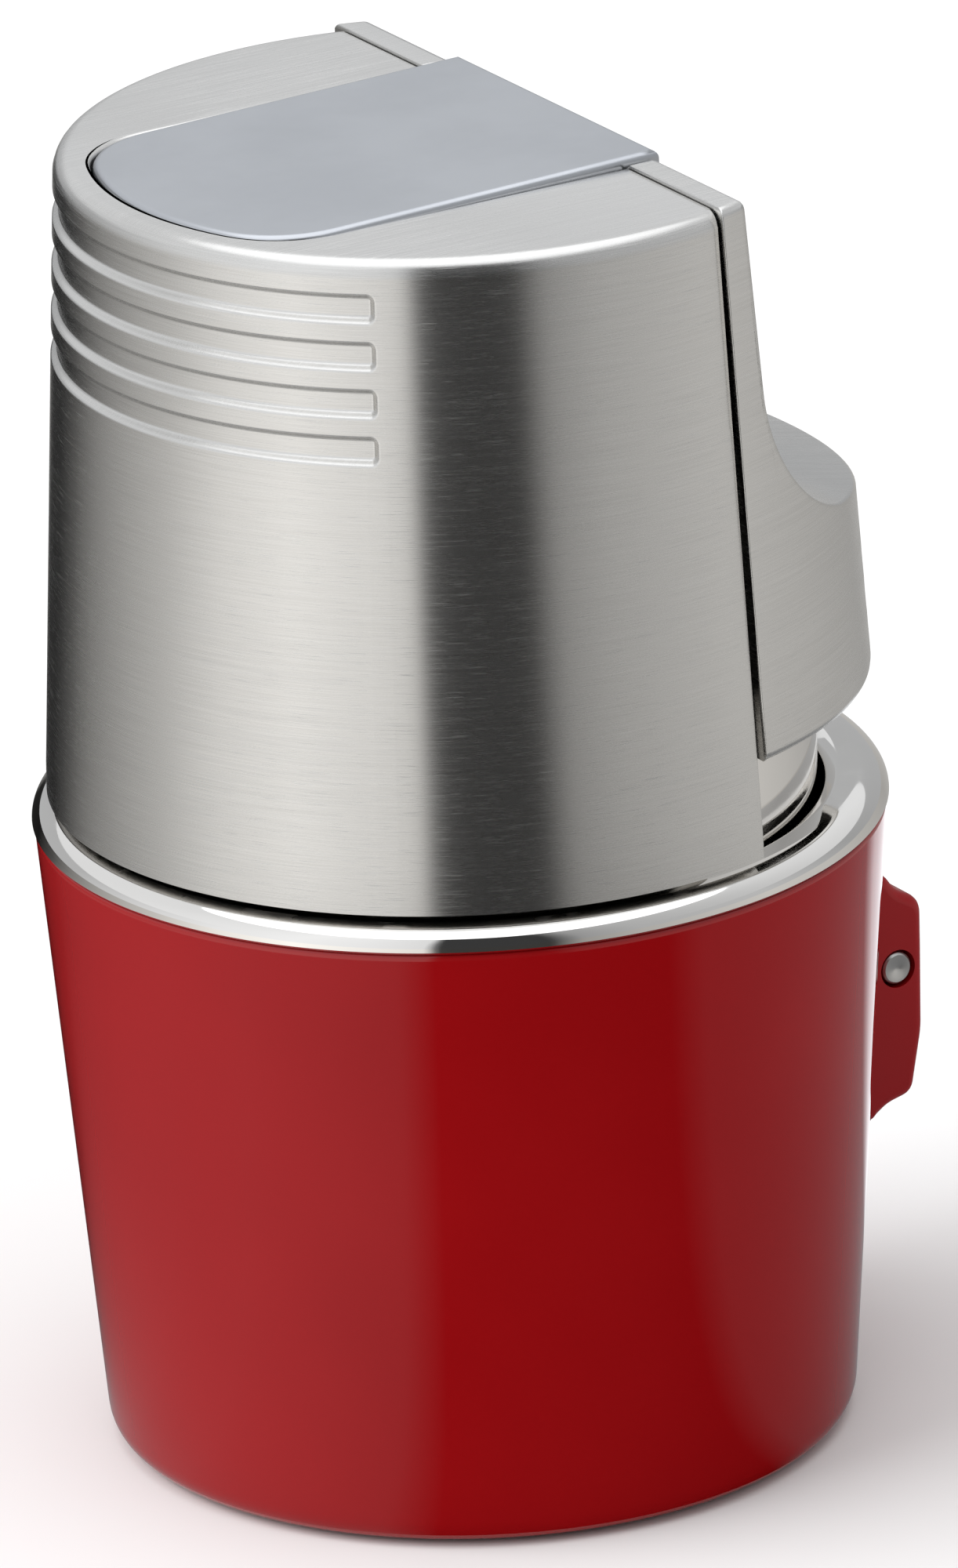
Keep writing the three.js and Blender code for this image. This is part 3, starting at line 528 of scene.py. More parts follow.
def casing_section(fraction, heights, opening):
    """One section through the casing: up the outside, over the top, through the opening and down inside."""
    foot = casing_radius(CASING_BOTTOM)
    chamfer = 0.06 * MM
    section = [on_wall(fraction, foot - SMALL_EDGE, CASING_BOTTOM),
               on_wall(fraction, foot - chamfer, CASING_BOTTOM + chamfer)]
    section += [on_wall(fraction, casing_radius(z), z) for z in heights if z > CASING_BOTTOM + SMALL_EDGE]
    edge_steps, lip_steps = 8, 4
    for k in range(1, edge_steps + 1):
        turn = QUARTER * k / edge_steps
        radius = casing_radius(CASING_TOP) - CASING_EDGE * (1 - math.cos(turn))
        section.append(on_wall(fraction, radius, CASING_TOP - CASING_EDGE * (1 - math.sin(turn))))

    edge_x, edge_y, _ = section[-1]
    mouth_x, mouth_y = along_line(opening, fraction)
    gap = Vector((edge_x - mouth_x, edge_y - mouth_y))
    aside = gap.normalized() * CASING_LIP
    section += [(edge_x - gap.x * k, edge_y - gap.y * k, CASING_TOP) for k in (0.15, 0.4, 0.7, 0.9)]
    for k in range(lip_steps + 1):
        turn = QUARTER * k / lip_steps
        out = 1 - math.sin(turn)
        z = CASING_TOP - CASING_LIP * (1 - math.cos(turn))
        section.append((mouth_x + aside.x * out, mouth_y + aside.y * out, z))

    ceiling = CASING_TOP - CASING_WALL
    corner = 0.6 * MM
    waist = 72 * MM
    inner = casing_radius(ceiling) - CASING_WALL
    section.append((mouth_x, mouth_y, ceiling))
    for radius, z in ((inner - corner, ceiling), (inner, ceiling - corner),
                      (casing_radius(waist) - CASING_WALL, waist), (foot - CASING_WALL, CASING_BOTTOM)):
        section.append(on_wall(fraction, radius, z, grooved=False))
    return section


def build_casing():
    heights = casing_heights()
    stations = casing_stations()
    opening = lid_outline(LID_GAP, parting_x(CASING_TOP))
    verts = [point for fraction in stations for point in casing_section(fraction, heights, opening)]
    columns = len(verts) // len(stations)
    last = (len(stations) - 1) * columns
    faces = strip_faces(len(stations), columns, close_columns=True)
    faces.append(tuple(range(columns)))
    faces.append(tuple(range(last + columns - 1, last - 1, -1)))
    casing = piece("casing_shell", verts, faces, "head", "brushed_casing", ["casing"], 50)
    round_marked(casing, casing_rounding)


def casing_rounding(point):
    """How much an edge of the casing at a place is rounded: a little along the parting edges."""
    at_parting = point.x > parting_x(point.z) - 0.02 * MM
    outside = math.hypot(point.x, point.y) > casing_radius(point.z) - 0.9 * MM
    return PARTING_EDGE if at_parting and outside else 0.0


# ---------------------------------------------------------------- the thumb lever
def scoop_line(inset=0.0):
    """(x, z) points of the lever's front face and thumb ledge, from the top down and out to the rim."""
    lean = math.degrees(math.atan2(SCOOP_X - SCOOP_RADIUS - FACE_X, LEVER_TOP - SCOOP_Z))
    tilt = math.tan(math.radians(lean))
    slope = math.tan(LEDGE_SLOPE)
    curve = arc(SCOOP_X, SCOOP_Z, SCOOP_RADIUS + inset, 180 + lean, 270 - math.degrees(LEDGE_SLOPE), 36)
    start = (curve[0][0] - (LEVER_TOP - curve[0][1]) * tilt, LEVER_TOP)
    deck = (start[0] + (start[1] - LID_DECK) * tilt, LID_DECK)
    face_steps, ledge_steps = 10, 16
    face = [between(deck, curve[0], k / face_steps) for k in range(face_steps)]
    end_x, end_z = curve[-1]
    rim_x = (lever_radius(end_z) - CASING_TAPER * end_x * slope) / (1 - CASING_TAPER * slope)
    run = rim_x - end_x
    outs = [1 - (1 - k / ledge_steps) ** 2 for k in range(1, ledge_steps + 1)]
    ledge = [(end_x + run * out, end_z - run * out * slope) for out in outs]
    return [start] + face + curve + ledge


def nearest_on(line, x, z):
    """The point of a polyline nearest to a place."""
    best = None
    for (ax, az), (bx, bz) in zip(line, line[1:]):
        length = (bx - ax) ** 2 + (bz - az) ** 2
        t = max(0.0, min(1.0, ((x - ax) * (bx - ax) + (z - az) * (bz - az)) / length))
        px, pz = ax + (bx - ax) * t, az + (bz - az) * t
        away = (px - x) ** 2 + (pz - z) ** 2
        if best is None or away < best[0]:
            best = (away, px, pz)
    return best[1:]


def lip_radius(z):
    """The rounding where the face and the ledge meet the round side: finest along the ledge."""
    return 0.4 * MM + 0.5 * MM * smooth_step((z - 74 * MM) / (10 * MM))


def lip(line, index):
    """The rounded lip at one point of the scoop's line, from the scoop's side to the round side (+Y half)."""
    def rim(i):
        x, z = line[i]
        return Vector((x, math.sqrt(max(0.0, lever_radius(z) ** 2 - x ** 2)), z))

    here = rim(index)
    before, after = rim(max(index - 1, 0)), rim(min(index + 1, len(line) - 1))
    along = (after - before).normalized() if index < len(line) - 1 else Vector((0, -1, 0))
    (ax, az), (bx, bz) = line[max(index - 1, 0)], line[min(index + 1, len(line) - 1)]
    face_normal = Vector((-(bz - az), 0, bx - ax)).normalized()
    side_normal = Vector((here.x, here.y, CASING_TAPER * math.hypot(here.x, here.y))).normalized()
    into_face = face_normal.cross(along).normalized()
    into_face *= -1 if into_face.dot(side_normal) > 0 else 1
    down_side = side_normal.cross(along).normalized()
    down_side *= -1 if down_side.dot(face_normal) > 0 else 1
    reach = lip_radius(here.z) * math.tan(face_normal.angle(side_normal) / 2)
    first, last = here + into_face * reach, here + down_side * reach
    if index == 0:
        first.z = last.z = LEVER_TOP
    first.x, first.z = nearest_on(line, first.x, first.z)
    scale = lever_radius(last.z) / math.hypot(last.x, last.y)
    last.x, last.y = last.x * scale, last.y * scale
    steps = 5
    parts = [k / steps for k in range(steps + 1)]
    points = [first * (1 - t) ** 2 + here * 2 * t * (1 - t) + last * t * t for t in parts]
    if index == len(line) - 1:
        points = [Vector((point.x, 0, point.z)) for point in points]
    return points


def build_lever():
    """The lever's shell: the scoop with its lips, the round side, the flat faces, then the hollow inside."""
    line = scoop_line()
    notch = LID_SIDE + LID_GAP
    full_width = 24 * MM
    verts = []
    faces = []

    def add(x, y, z):
        verts.append((x, y, z))
        return len(verts) - 1

    lips = [lip(line, i) for i in range(len(line))]
    strips = {sign: [[add(p.x, sign * p.y, p.z) for p in points] for points in lips[:-1]] for sign in (-1, 1)}
    tip = [add(*point) for point in lips[-1]]
    rows = []
    for index, points in enumerate(lips[:-1]):
        x, half, z = points[0]
        inner = notch * min(1.0, half / full_width)
        across = [add(x, y, z) for y in (-(half + inner) / 2, -inner, 0, inner, (half + inner) / 2)]
        rows.append([strips[-1][index][0]] + across + [strips[1][index][0]])
    for i, (upper, lower) in enumerate(zip(rows, rows[1:])):
        for j in range(6):
            if i > 0 or j not in (2, 3):
                faces.append((upper[j], upper[j + 1], lower[j + 1], lower[j]))
    faces += [(rows[-1][j], rows[-1][j + 1], tip[0]) for j in range(6)]
    for sign in (-1, 1):
        strip = strips[sign] + [tip]
        for a, b in zip(strip, strip[1:]):
            faces += [(a[k], a[k + 1], b[k + 1], b[k]) for k in range(len(a) - 1)]

    # The round side: columns run from the lip or the top edge down to the bottom edge.
    back_top = math.acos(lever_back_x(LEVER_TOP) / lever_radius(LEVER_TOP))
    back_low = math.acos(lever_back_x(LEVER_BOTTOM) / lever_radius(LEVER_BOTTOM))
    corner = math.atan2(lips[0][-1].y, lips[0][-1].x)
    shoulder = 2
    fractions = (0.0, 0.1, 0.25, 0.45, 0.65, 0.82, 0.93)
    sides = {}
    for sign in (-1, 1):
        tops = [(back_top + (corner - back_top) * k / shoulder, LEVER_TOP) for k in range(shoulder)]
        tops += [(math.atan2(points[-1].y, points[-1].x), points[-1].z) for points in lips[:-1]]
        columns = []
        for index, (azimuth, z_top) in enumerate(tops):
            start = back_low * (1 - index / len(tops))
            column = []
            for part in fractions:
                z = LEVER_BOTTOM + (z_top - LEVER_BOTTOM) * part
                here = start + (azimuth - start) * part
                if index == 0:
                    here = math.acos(lever_back_x(z) / lever_radius(z))
                radius = lever_radius(z)
                column.append(add(radius * math.cos(here), sign * radius * math.sin(here), z))
            if index < shoulder:
                radius = lever_radius(LEVER_TOP)
                column.append(add(radius * math.cos(azimuth), sign * radius * math.sin(azimuth), LEVER_TOP))
            else:
                column.append(strips[sign][index - shoulder][-1])
            columns.append(column)
        sides[sign] = columns
    tip_z = lips[-1][-1].z
    heights = [LEVER_BOTTOM + (tip_z - LEVER_BOTTOM) * part for part in fractions]
    middle = [add(lever_radius(z), 0, z) for z in heights] + [tip[-1]]
    for columns in sides.values():
        whole = columns + [middle]
        for a, b in zip(whole, whole[1:]):
            faces += [(a[k], b[k], b[k + 1], a[k + 1]) for k in range(len(a) - 1)]

    # Flat faces: the two shoulders, the notch for the lid, the back and the underside.
    notch_back = {}
    for sign, j, outer in ((-1, 2, 1), (1, 4, 5)):
        upper = add(lever_back_x(LEVER_TOP), sign * notch, LEVER_TOP)
        lower = add(lever_back_x(LID_DECK), sign * notch, LID_DECK)
        notch_back[sign] = (upper, lower)
        faces.append((rows[0][j], upper, lower, rows[1][j]))
        edge = [column[-1] for column in sides[sign][:shoulder]] + strips[sign][0][::-1]
        faces.append(tuple(edge + [rows[0][outer], rows[0][j], upper]))
    right, left = sides[-1], sides[1]
    faces.append((rows[1][2], rows[1][3], rows[1][4], notch_back[1][1], notch_back[-1][1]))
    faces.append(tuple(right[0]) + notch_back[-1] + notch_back[1][::-1] + tuple(reversed(left[0])))
    faces.append(tuple(column[0] for column in right) + (middle[0],) + tuple(c[0] for c in reversed(left)))
    lever = piece("lever", verts, faces, "lever", "brushed_casing", ["thumb_lever"], 30)

    carve(lever, hollow_under_lever())
    round_marked(lever, lever_rounding)


def lever_rounding(point):
    """How much an edge of the lever at a place is rounded."""
    near = 0.05 * MM
    outside = math.hypot(point.x, point.y) > lever_radius(point.z) - 0.25 * MM
    at_back = point.x < lever_back_x(point.z) + near
    if point.z > LEVER_TOP - near:
        return PARTING_EDGE if at_back else LEVER_TOP_EDGE
    if point.z < LEVER_BOTTOM + near:
        return LEVER_FOOT_EDGE if outside else 0.0
    if at_back:
        return PARTING_EDGE if outside else 0.0
    if point.z > LID_DECK + near and abs(abs(point.y) - LID_SIDE - LID_GAP) < near:
        return NOTCH_EDGE
    return 0.0


def hollow_under_lever():
    """The space inside the lever, open at the back and below."""
    back, half_width, cone_top = 2 * MM, 32 * MM, 84 * MM
    inner = [(x, z) for x, z in scoop_line(LEVER_WALL) if z < HOLLOW_TOP]
    end_x, end_z = inner[-1]
    front = end_x + 5 * MM
    outline = [(back, HOLLOW_TOP)] + inner
    outline += [(front, end_z - 1 * MM), (front, HOLLOW_BOTTOM), (back, HOLLOW_BOTTOM)]
    hollow = prism("hollow", outline, -half_width, half_width)
    steps = 160
    verts = []
    for z in (HOLLOW_BOTTOM, cone_top):
        verts += circle(lever_radius(z) - LEVER_WALL, z, steps)
    combine(hollow, add_object("cone", closed_mesh("cone", verts, capped(steps))), "INTERSECT")
    return hollow


# ---------------------------------------------------------------- the lid
def build_lid():
    """The lid's plate, with a rounded upper edge."""
    under = 0.1 * MM
    steps = 5
    levels = [(under, -LID_THICK), (0.0, under - LID_THICK)]
    for k in range(steps + 1):
        turn = QUARTER * k / steps
        levels.append((LID_EDGE * (1 - math.cos(turn)), -LID_EDGE * (1 - math.sin(turn))))
    verts = []
    for inset, z in levels:
        verts += [tilt_lid(Vector((x, y, z))) for x, y in lid_outline(-inset, LID_FRONT - inset)]
    count = len(verts) // len(levels)
    faces = strip_faces(len(levels), count, close_columns=True)
    faces.append(tuple(range(count - 1, -1, -1)))
    faces.append(tuple(range(len(verts) - count, len(verts))))
    flatten(piece("flap_lid", verts, faces, "lid", "satin_lid", ["lid"], 40))


def tilt_lid(point):
    """Leans the lid's level plate so that it meets the casing's edge at the rear."""
    point = point - Vector((LID_FRONT, 0, 0))
    point.rotate(Matrix.Rotation(-LID_TILT, 3, "Y"))
    return point + Vector((LID_FRONT, 0, LID_TOP))


def build_lid_ears():
    """The two ears under the lid that hold its hinge pin."""
    hinge_x = (low("lid_hinge_pin").x + high("lid_hinge_pin").x) / 2
    hinge_z = (low("lid_hinge_pin").z + high("lid_hinge_pin").z) / 2
    tops = [(hinge_x + EAR_RADIUS, hinge_z + 2.55 * MM), (hinge_x - EAR_RADIUS, hinge_z + 2.5 * MM)]
    outline = arc(hinge_x, hinge_z, EAR_RADIUS, 180, 360, 16) + tops
    bore = arc(hinge_x, hinge_z, EAR_BORE, 0, 360, 24)[:-1]
    for name, start in (("lid_ear_right", -11.8 * MM), ("lid_ear_left", 9.2 * MM)):
        verts = spread(outline, start, start + EAR_WIDTH)
        ear = piece(name, verts, capped(len(outline)), "lid", "satin_lid")
        carve(ear, prism("bore", bore, -15 * MM, 15 * MM))
        ear.data.set_sharp_from_angle(angle=math.radians(40))
        soften(ear, 0.12 * MM, 50)


# ---------------------------------------------------------------- the latch
def inset_outline(points, distance):
    """Moves a closed anticlockwise outline inwards by a small distance."""
    moved = []
    for i, point in enumerate(points):
        before, after = Vector(points[i - 1]), Vector(points[(i + 1) % len(points)])
        here = Vector(point)
        edge_in, edge_out = (here - before).normalized(), (after - here).normalized()
        normal = Vector((-edge_in.y - edge_out.y, edge_in.x + edge_out.x))
        if normal.length < 1e-9:
            normal = Vector((-edge_in.y, edge_in.x))
        normal.normalize()
        scale = 1 / max(0.5, normal.dot(Vector((-edge_in.y, edge_in.x))))
        moved.append(tuple(here + normal * distance * scale))
    return moved


def build_latch():
    """The red rocker: a rounded shell with a pocket at its back, a seat for the pin and a nose."""
    outline = rounded([(x * MM, z * MM, radius * MM) for x, z, radius in LATCH_CORNERS], 8)
    outline = refine(outline, 0.8 * MM)
    steps = 5
    levels = []
    for k in range(steps + 1):
        turn = QUARTER * k / steps
        levels.append((LATCH_EDGE * (1 - math.sin(turn)), -LATCH_SIDE + LATCH_EDGE * (1 - math.cos(turn))))
    levels += [(inset, -y) for inset, y in reversed(levels)]
    verts = []
    for inset, y in levels:
        for (x, z), (start_x, _) in zip(inset_outline(outline, inset), outline):
            verts.append((start_x if start_x < LATCH_ROOT else x, y, z))
    count = len(outline)
    faces = strip_faces(len(levels), count, close_columns=True)
    faces.append(tuple(range(count)))
    faces.append(tuple(range(len(verts) - 1, len(verts) - count - 1, -1)))
    latch = piece("latch_shell", verts, faces, "latch", "latch_red", ["latch_lever"], 35)

    pocket = [(x * MM, z * MM) for x, z in LATCH_POCKET]
    seat = arc(PIN_X, PIN_Z, PIN_RADIUS + 0.22 * MM, 0, 360, 48)[:-1]
    carve(latch, prism("pocket", pocket, -SLOT_HALF, SLOT_HALF), prism("seat", seat, -6 * MM, 6 * MM))
    latch.data.set_sharp_from_angle(angle=math.radians(35))
    flatten(latch)

    nose = prism("latch_nose", [(x * MM, z * MM) for x, z in LATCH_NOSE], -NOSE_HALF, NOSE_HALF)
    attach(nose, "latch")
    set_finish(nose, "latch_red")
    soften(nose, 0.15 * MM)


def build_pin():
    """The latch's pin, with domed ends that have a small centre mark."""
    end = high("latch_pin").y
    half = [(0, -0.16 * MM), (0.28 * MM, 0), (PIN_RADIUS - 0.2 * MM, 0.05 * MM),
            (PIN_RADIUS - 0.05 * MM, -0.08 * MM), (PIN_RADIUS, -0.3 * MM)]
    profile = [(r, -end - h) for r, h in half] + [(r, end + h) for r, h in reversed(half)]
    verts = []
    segments = 64
    for i in range(segments):
        angle = 2 * math.pi * i / segments
        verts += [(PIN_X + r * math.cos(angle), y, PIN_Z + r * math.sin(angle)) for r, y in profile]
    faces = strip_faces(segments, len(profile), close_rows=True)
    piece("pin", verts, faces, "base", "plain_steel", ["latch_pin"], 30)


# ---------------------------------------------------------------- materials
class Nodes:
    """A material's node tree with short calls for the nodes used here."""

    def __init__(self, name):
        self.material = bpy.data.materials.new(name)
        self.material.use_nodes = True
        self.tree = self.material.node_tree
        self.shader = self.tree.nodes["Principled BSDF"]
        place = self.tree.nodes.new("ShaderNodeTexCoord")
        self.place = place.outputs["Object"]

    def set(self, **values):
        for key, value in values.items():
            self.shader.inputs[key.replace("_", " ")].default_value = value

    def link(self, source, target):
        self.tree.links.new(source, target)

    def stretched(self, x, y, z):
        mapping = self.tree.nodes.new("ShaderNodeMapping")
        mapping.inputs["Scale"].default_value = (x, y, z)
        self.link(self.place, mapping.inputs["Vector"])
        return mapping.outputs["Vector"]

    def noise(self, vector, scale=1.0, detail=2.0, roughness=0.5):
        node = self.tree.nodes.new("ShaderNodeTexNoise")
        node.inputs["Scale"].default_value = scale
        node.inputs["Detail"].default_value = detail
        node.inputs["Roughness"].default_value = roughness
        self.link(vector, node.inputs["Vector"])
        return node.outputs["Fac"]

    def ramp(self, value, start, end, low_value=0.0, high_value=1.0):
        node = self.tree.nodes.new("ShaderNodeMapRange")
        node.interpolation_type = "SMOOTHSTEP"
        limits = (("From Min", start), ("From Max", end), ("To Min", low_value), ("To Max", high_value))
        for key, number in limits:
            node.inputs[key].default_value = number
        self.link(value, node.inputs["Value"])
        return node.outputs["Result"]

    def mix(self, factor, first, second):
        node = self.tree.nodes.new("ShaderNodeMix")
        node.data_type = "RGBA"
        self.link(factor, node.inputs[0])
        for socket, value in ((node.inputs[6], first), (node.inputs[7], second)):
            if isinstance(value, tuple):
                socket.default_value = value + (1.0,)
            else:
                self.link(value, socket)
        return node.outputs[2]

    def blend(self, factor, first, second):
        node = self.tree.nodes.new("ShaderNodeMix")
        self.link(factor, node.inputs[0])
        self.link(first, node.inputs[2])
        self.link(second, node.inputs[3])
        return node.outputs[0]

    def bump(self, height, distance, strength=1.0):
        node = self.tree.nodes.new("ShaderNodeBump")
        node.inputs["Strength"].default_value = strength
        node.inputs["Distance"].default_value = distance
        self.link(height, node.inputs["Height"])
        self.link(node.outputs["Normal"], self.shader.inputs["Normal"])

    def tint(self, value, start, end, first, second):
        """Colours the material from one colour to another as a value rises."""
        self.link(self.mix(self.ramp(value, start, end), first, second), self.shader.inputs["Base Color"])

    def wear(self, value, start, end, smooth, rough):
        """Roughens the material as a value rises."""
        self.link(self.ramp(value, start, end, smooth, rough), self.shader.inputs["Roughness"])

    def glow(self, color):
        """Makes the material black but for a light of its own, which is not sampled as a lamp."""
        self.link(color, self.shader.inputs["Emission Color"])
        self.set(Base_Color=(0, 0, 0, 1), Specular_IOR_Level=0.0, Roughness=1.0, Emission_Strength=1.0)
        self.material.cycles.emission_sampling = "NONE"

    def facing_up(self):
        """1 where the surface faces up, and 0 on its sides."""
        geometry = self.tree.nodes.new("ShaderNodeNewGeometry")
        split = self.tree.nodes.new("ShaderNodeSeparateXYZ")
        self.link(geometry.outputs["True Normal"], split.inputs[0])
        return self.ramp(split.outputs["Z"], 0.6, 0.95)


def dimmed(color, share):
    return tuple(c * share for c in color)


def brushed(name, color, roughness):
    """Steel brushed round its sides and straight across its top."""
    side, top, short = (140, 140, 21000), (150, 15000, 150), (3, 3, 0.8)
    streaks = 0.07
    nodes = Nodes(name)
    up = nodes.facing_up()
    side_lines = nodes.noise(nodes.stretched(*side), detail=3)
    top_lines = nodes.noise(nodes.stretched(*top), detail=3)
    fine = nodes.blend(up, side_lines, top_lines)
    coarse = nodes.noise(nodes.stretched(*(v / 5 for v in side)), detail=2)
    smudge = nodes.noise(nodes.place, 60, 3)
    marks = nodes.noise(nodes.stretched(*(v * k for v, k in zip(side, short))), detail=1)
    scratches = nodes.blend(up, marks, fine)
    dark = tuple(c * (1 - streaks) for c in color)
    light = tuple(min(1.0, c * (1 + streaks * 0.5)) for c in color)
    nodes.tint(fine, 0.3, 0.7, dark, light)
    even = nodes.ramp(fine, 0.2, 0.8, roughness - 0.03, roughness + 0.03)
    worn = nodes.ramp(coarse, 0.2, 0.8, roughness, roughness + 0.05)
    rough = nodes.blend(nodes.ramp(smudge, 0.35, 0.75), even, worn)
    total = nodes.tree.nodes.new("ShaderNodeMath")
    nodes.link(rough, total.inputs[0])
    nodes.link(nodes.ramp(scratches, 0.6, 0.76, 0.0, 0.14), total.inputs[1])
    nodes.link(total.outputs[0], nodes.shader.inputs["Roughness"])
    nodes.bump(fine, 0.0015 * MM, 0.5)
    nodes.set(Metallic=1.0, Anisotropic=0.8, Anisotropic_Rotation=0.25)
    tangent = nodes.tree.nodes.new("ShaderNodeTangent")
    tangent.direction_type = "RADIAL"
    tangent.axis = "Z"
    nodes.link(tangent.outputs[0], nodes.shader.inputs["Tangent"])
    return nodes.material


def polished(name, color, roughness):
    """Bright metal with a faint film of wiping marks."""
    nodes = Nodes(name)
    wipe = nodes.noise(nodes.stretched(400, 400, 900), 1.0, 4)
    film = nodes.noise(nodes.place, 90, 3)
    nodes.wear(wipe, 0.35, 0.8, roughness, roughness + 0.05)
    nodes.tint(film, 0.3, 0.8, color, dimmed(color, 0.95))
    nodes.bump(wipe, 0.0008 * MM, 0.3)
    nodes.set(Metallic=1.0)
    return nodes.material


def satin(name, color, roughness):
    """Metal with a fine, even grain."""
    nodes = Nodes(name)
    grain = nodes.noise(nodes.place, 9000, 3)
    cloud = nodes.noise(nodes.place, 120, 4)
    nodes.tint(cloud, 0.3, 0.75, color, dimmed(color, 0.93))
    nodes.wear(cloud, 0.3, 0.8, roughness, roughness + 0.07)
    nodes.bump(grain, 0.003 * MM, 0.4)
    nodes.set(Metallic=1.0)
    return nodes.material


def lacquer(name, color, deep, coat, coat_roughness, peel):
    """Paint under a clear coat, with a little orange peel and dust."""
    nodes = Nodes(name)
    roughness = 0.4
    tone = nodes.noise(nodes.place, 45, 2)
    nodes.tint(tone, 0.3, 0.7, color, deep)
    dust = nodes.noise(nodes.place, 1800, 2)
    nodes.wear(dust, 0.6, 0.8, roughness, roughness + 0.12)
    nodes.bump(nodes.noise(nodes.place, 420, 2), peel, 0.4)
    nodes.set(Coat_Weight=coat, Coat_Roughness=coat_roughness, Coat_IOR=1.5, Specular_IOR_Level=0.0)
    return nodes.material


def matte(name, color, roughness, scale, depth):
    """Rubber, felt or stone: a dull grain."""
    nodes = Nodes(name)
    grain = nodes.noise(nodes.place, scale, 4, 0.6)
    nodes.tint(grain, 0.3, 0.7, color, dimmed(color, 1.6))
    nodes.wear(grain, 0.3, 0.7, roughness - 0.1, roughness)
    nodes.bump(grain, depth, 0.6)
    return nodes.material


def turned_metal(name, color, roughness):
    """Plain metal with faint turning lines and stains."""
    nodes = Nodes(name)
    lines = nodes.noise(nodes.stretched(500, 500, 9000), 1.0, 3)
    stain = nodes.noise(nodes.place, 260, 4)
    nodes.tint(stain, 0.35, 0.75, color, dimmed(color, 0.78))
    nodes.wear(stain, 0.3, 0.8, roughness, roughness + 0.14)
    nodes.bump(lines, 0.004 * MM, 0.4)
    nodes.set(Metallic=1.0)
    return nodes.material


def make_materials():
    """One material for each slot."""
    red, deep_red = (0.28, 0.0045, 0.006), (0.26, 0.0035, 0.005)
    latch_red, deep_latch_red = (0.28, 0.005, 0.007), (0.25, 0.004, 0.006)
    return {
        "red_lacquer": lacquer("red_lacquer", red, deep_red, 1.0, 0.03, 0.003 * MM),
        "latch_red": lacquer("latch_red", latch_red, deep_latch_red, 0.6, 0.25, 0.006 * MM),
        "brushed_casing": brushed("brushed_casing", (0.67, 0.66, 0.64), 0.25),
        "satin_lid": satin("satin_lid", (0.50, 0.515, 0.54), 0.3),
        "polished_chrome": polished("polished_chrome", (0.82, 0.80, 0.77), 0.03),
        "plain_steel": turned_metal("plain_steel", (0.62, 0.61, 0.59), 0.32),
        "spring_steel": turned_metal("spring_steel", (0.36, 0.36, 0.38), 0.28),
        "brass": turned_metal("brass", (0.72, 0.50, 0.20), 0.26),
        "black_rubber": matte("black_rubber", (0.012, 0.012, 0.012), 0.8, 900, 0.02 * MM),
        "black_liner": matte("black_liner", (0.015, 0.015, 0.015), 0.55, 700, 0.01 * MM),
        "felt": matte("felt", (0.02, 0.02, 0.024), 1.0, 2600, 0.12 * MM),
        "flint_stone": matte("flint_stone", (0.09, 0.085, 0.08), 0.7, 1500, 0.03 * MM),
    }


def dress(materials):
    """Gives every piece and every shown CAD node its slot's material."""
    slots = {entry["node"]: entry["material_slot"] for entry in frame["record"]["subparts"]}
    for name, obj in frame["nodes"].items():
        obj.data.materials.clear()
        obj.data.materials.append(materials[slots[name]])
    for obj in bpy.data.objects:
        if obj.type == "MESH" and "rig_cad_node" not in obj and obj.get("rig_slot"):
            obj.data.materials.clear()
            obj.data.materials.append(materials[obj["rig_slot"]])


# ---------------------------------------------------------------- the studio
MIDDLE = Vector((0, 0, 0.05))
FLOOR_HALF = 6.0
BACKDROP_RADIUS = 4.0
BACKDROP_HEIGHT = 1.5
WORLD_STRENGTH = 0.58
SUN_SPREAD = math.radians(55)

# The lamps: name, azimuth and elevation in degrees, strength.
LAMPS = (("key", -105, 35, 2.4), ("fill", 40, 40, 0.1), ("top", 0, 88, 0.95))

CAMERA_AZIMUTH = -30.4
CAMERA_ELEVATION = 20.48
CAMERA_DISTANCE = 1.25
CAMERA_ROLL = math.radians(-2.19)
CAMERA_AIM = Vector((1.2, -0.7, 48.4)) * MM
CAMERA_LENS = 397.2
CAMERA_SENSOR = 36.0
CAMERA_FAR = 200

WARM = (1.0, 0.985, 0.96)
COOL = (0.97, 0.99, 1.02)

# Brightness of the tent's panels by azimuth, in degrees: a soft gradient with one black gap at the front.
SIDE_PANELS = ((-190, 0.02), (-174, 0.01), (-162, 0.08), (-147, 0.28), (-131, 0.46), (-115, 0.64), (-95, 1.0),
               (-74, 1.22), (-56, 1.06), (-40.5, 0.94), (-37.5, 0.05), (-9, 0.05), (-1, 0.38), (14, 0.52),
               (32, 0.6), (52, 0.68), (77, 0.6), (117, 0.42), (140, 0.55), (155, 0.65), (165, 0.3))
NEAR_PANELS = ((-190, 0.0), (-165, 0.03), (-137, 0.18), (-111, 0.36), (-87, 0.46), (-63, 0.42), (-47, 0.36),
               (-38, 0.0), (20, 0.0), (30, 0.2), (72, 0.26), (100, 0.32), (108, 1.3), (158, 1.8), (167, 0.2))
UPPER_PANELS = ((-160, 0.88), (-131, 0.9), (-95, 1.0), (-74, 1.1), (-56, 1.0), (-40.5, 0.9), (-37.5, 0.05),
                (-9, 0.05), (-1, 0.38), (14, 0.52), (52, 0.66), (90, 0.8), (130, 0.9))
BACK_PANELS = ((-150, 0.55), (-131, 0.7), (-95, 1.0), (-74, 1.1), (-56, 1.0), (-40.5, 0.9), (-37.5, 0.05),
               (-9, 0.05), (-1, 0.38), (14, 0.52), (52, 0.6), (90, 0.42), (140, 0.5))
ROOF_PANELS = ((-135, 1.8), (45, 1.7))


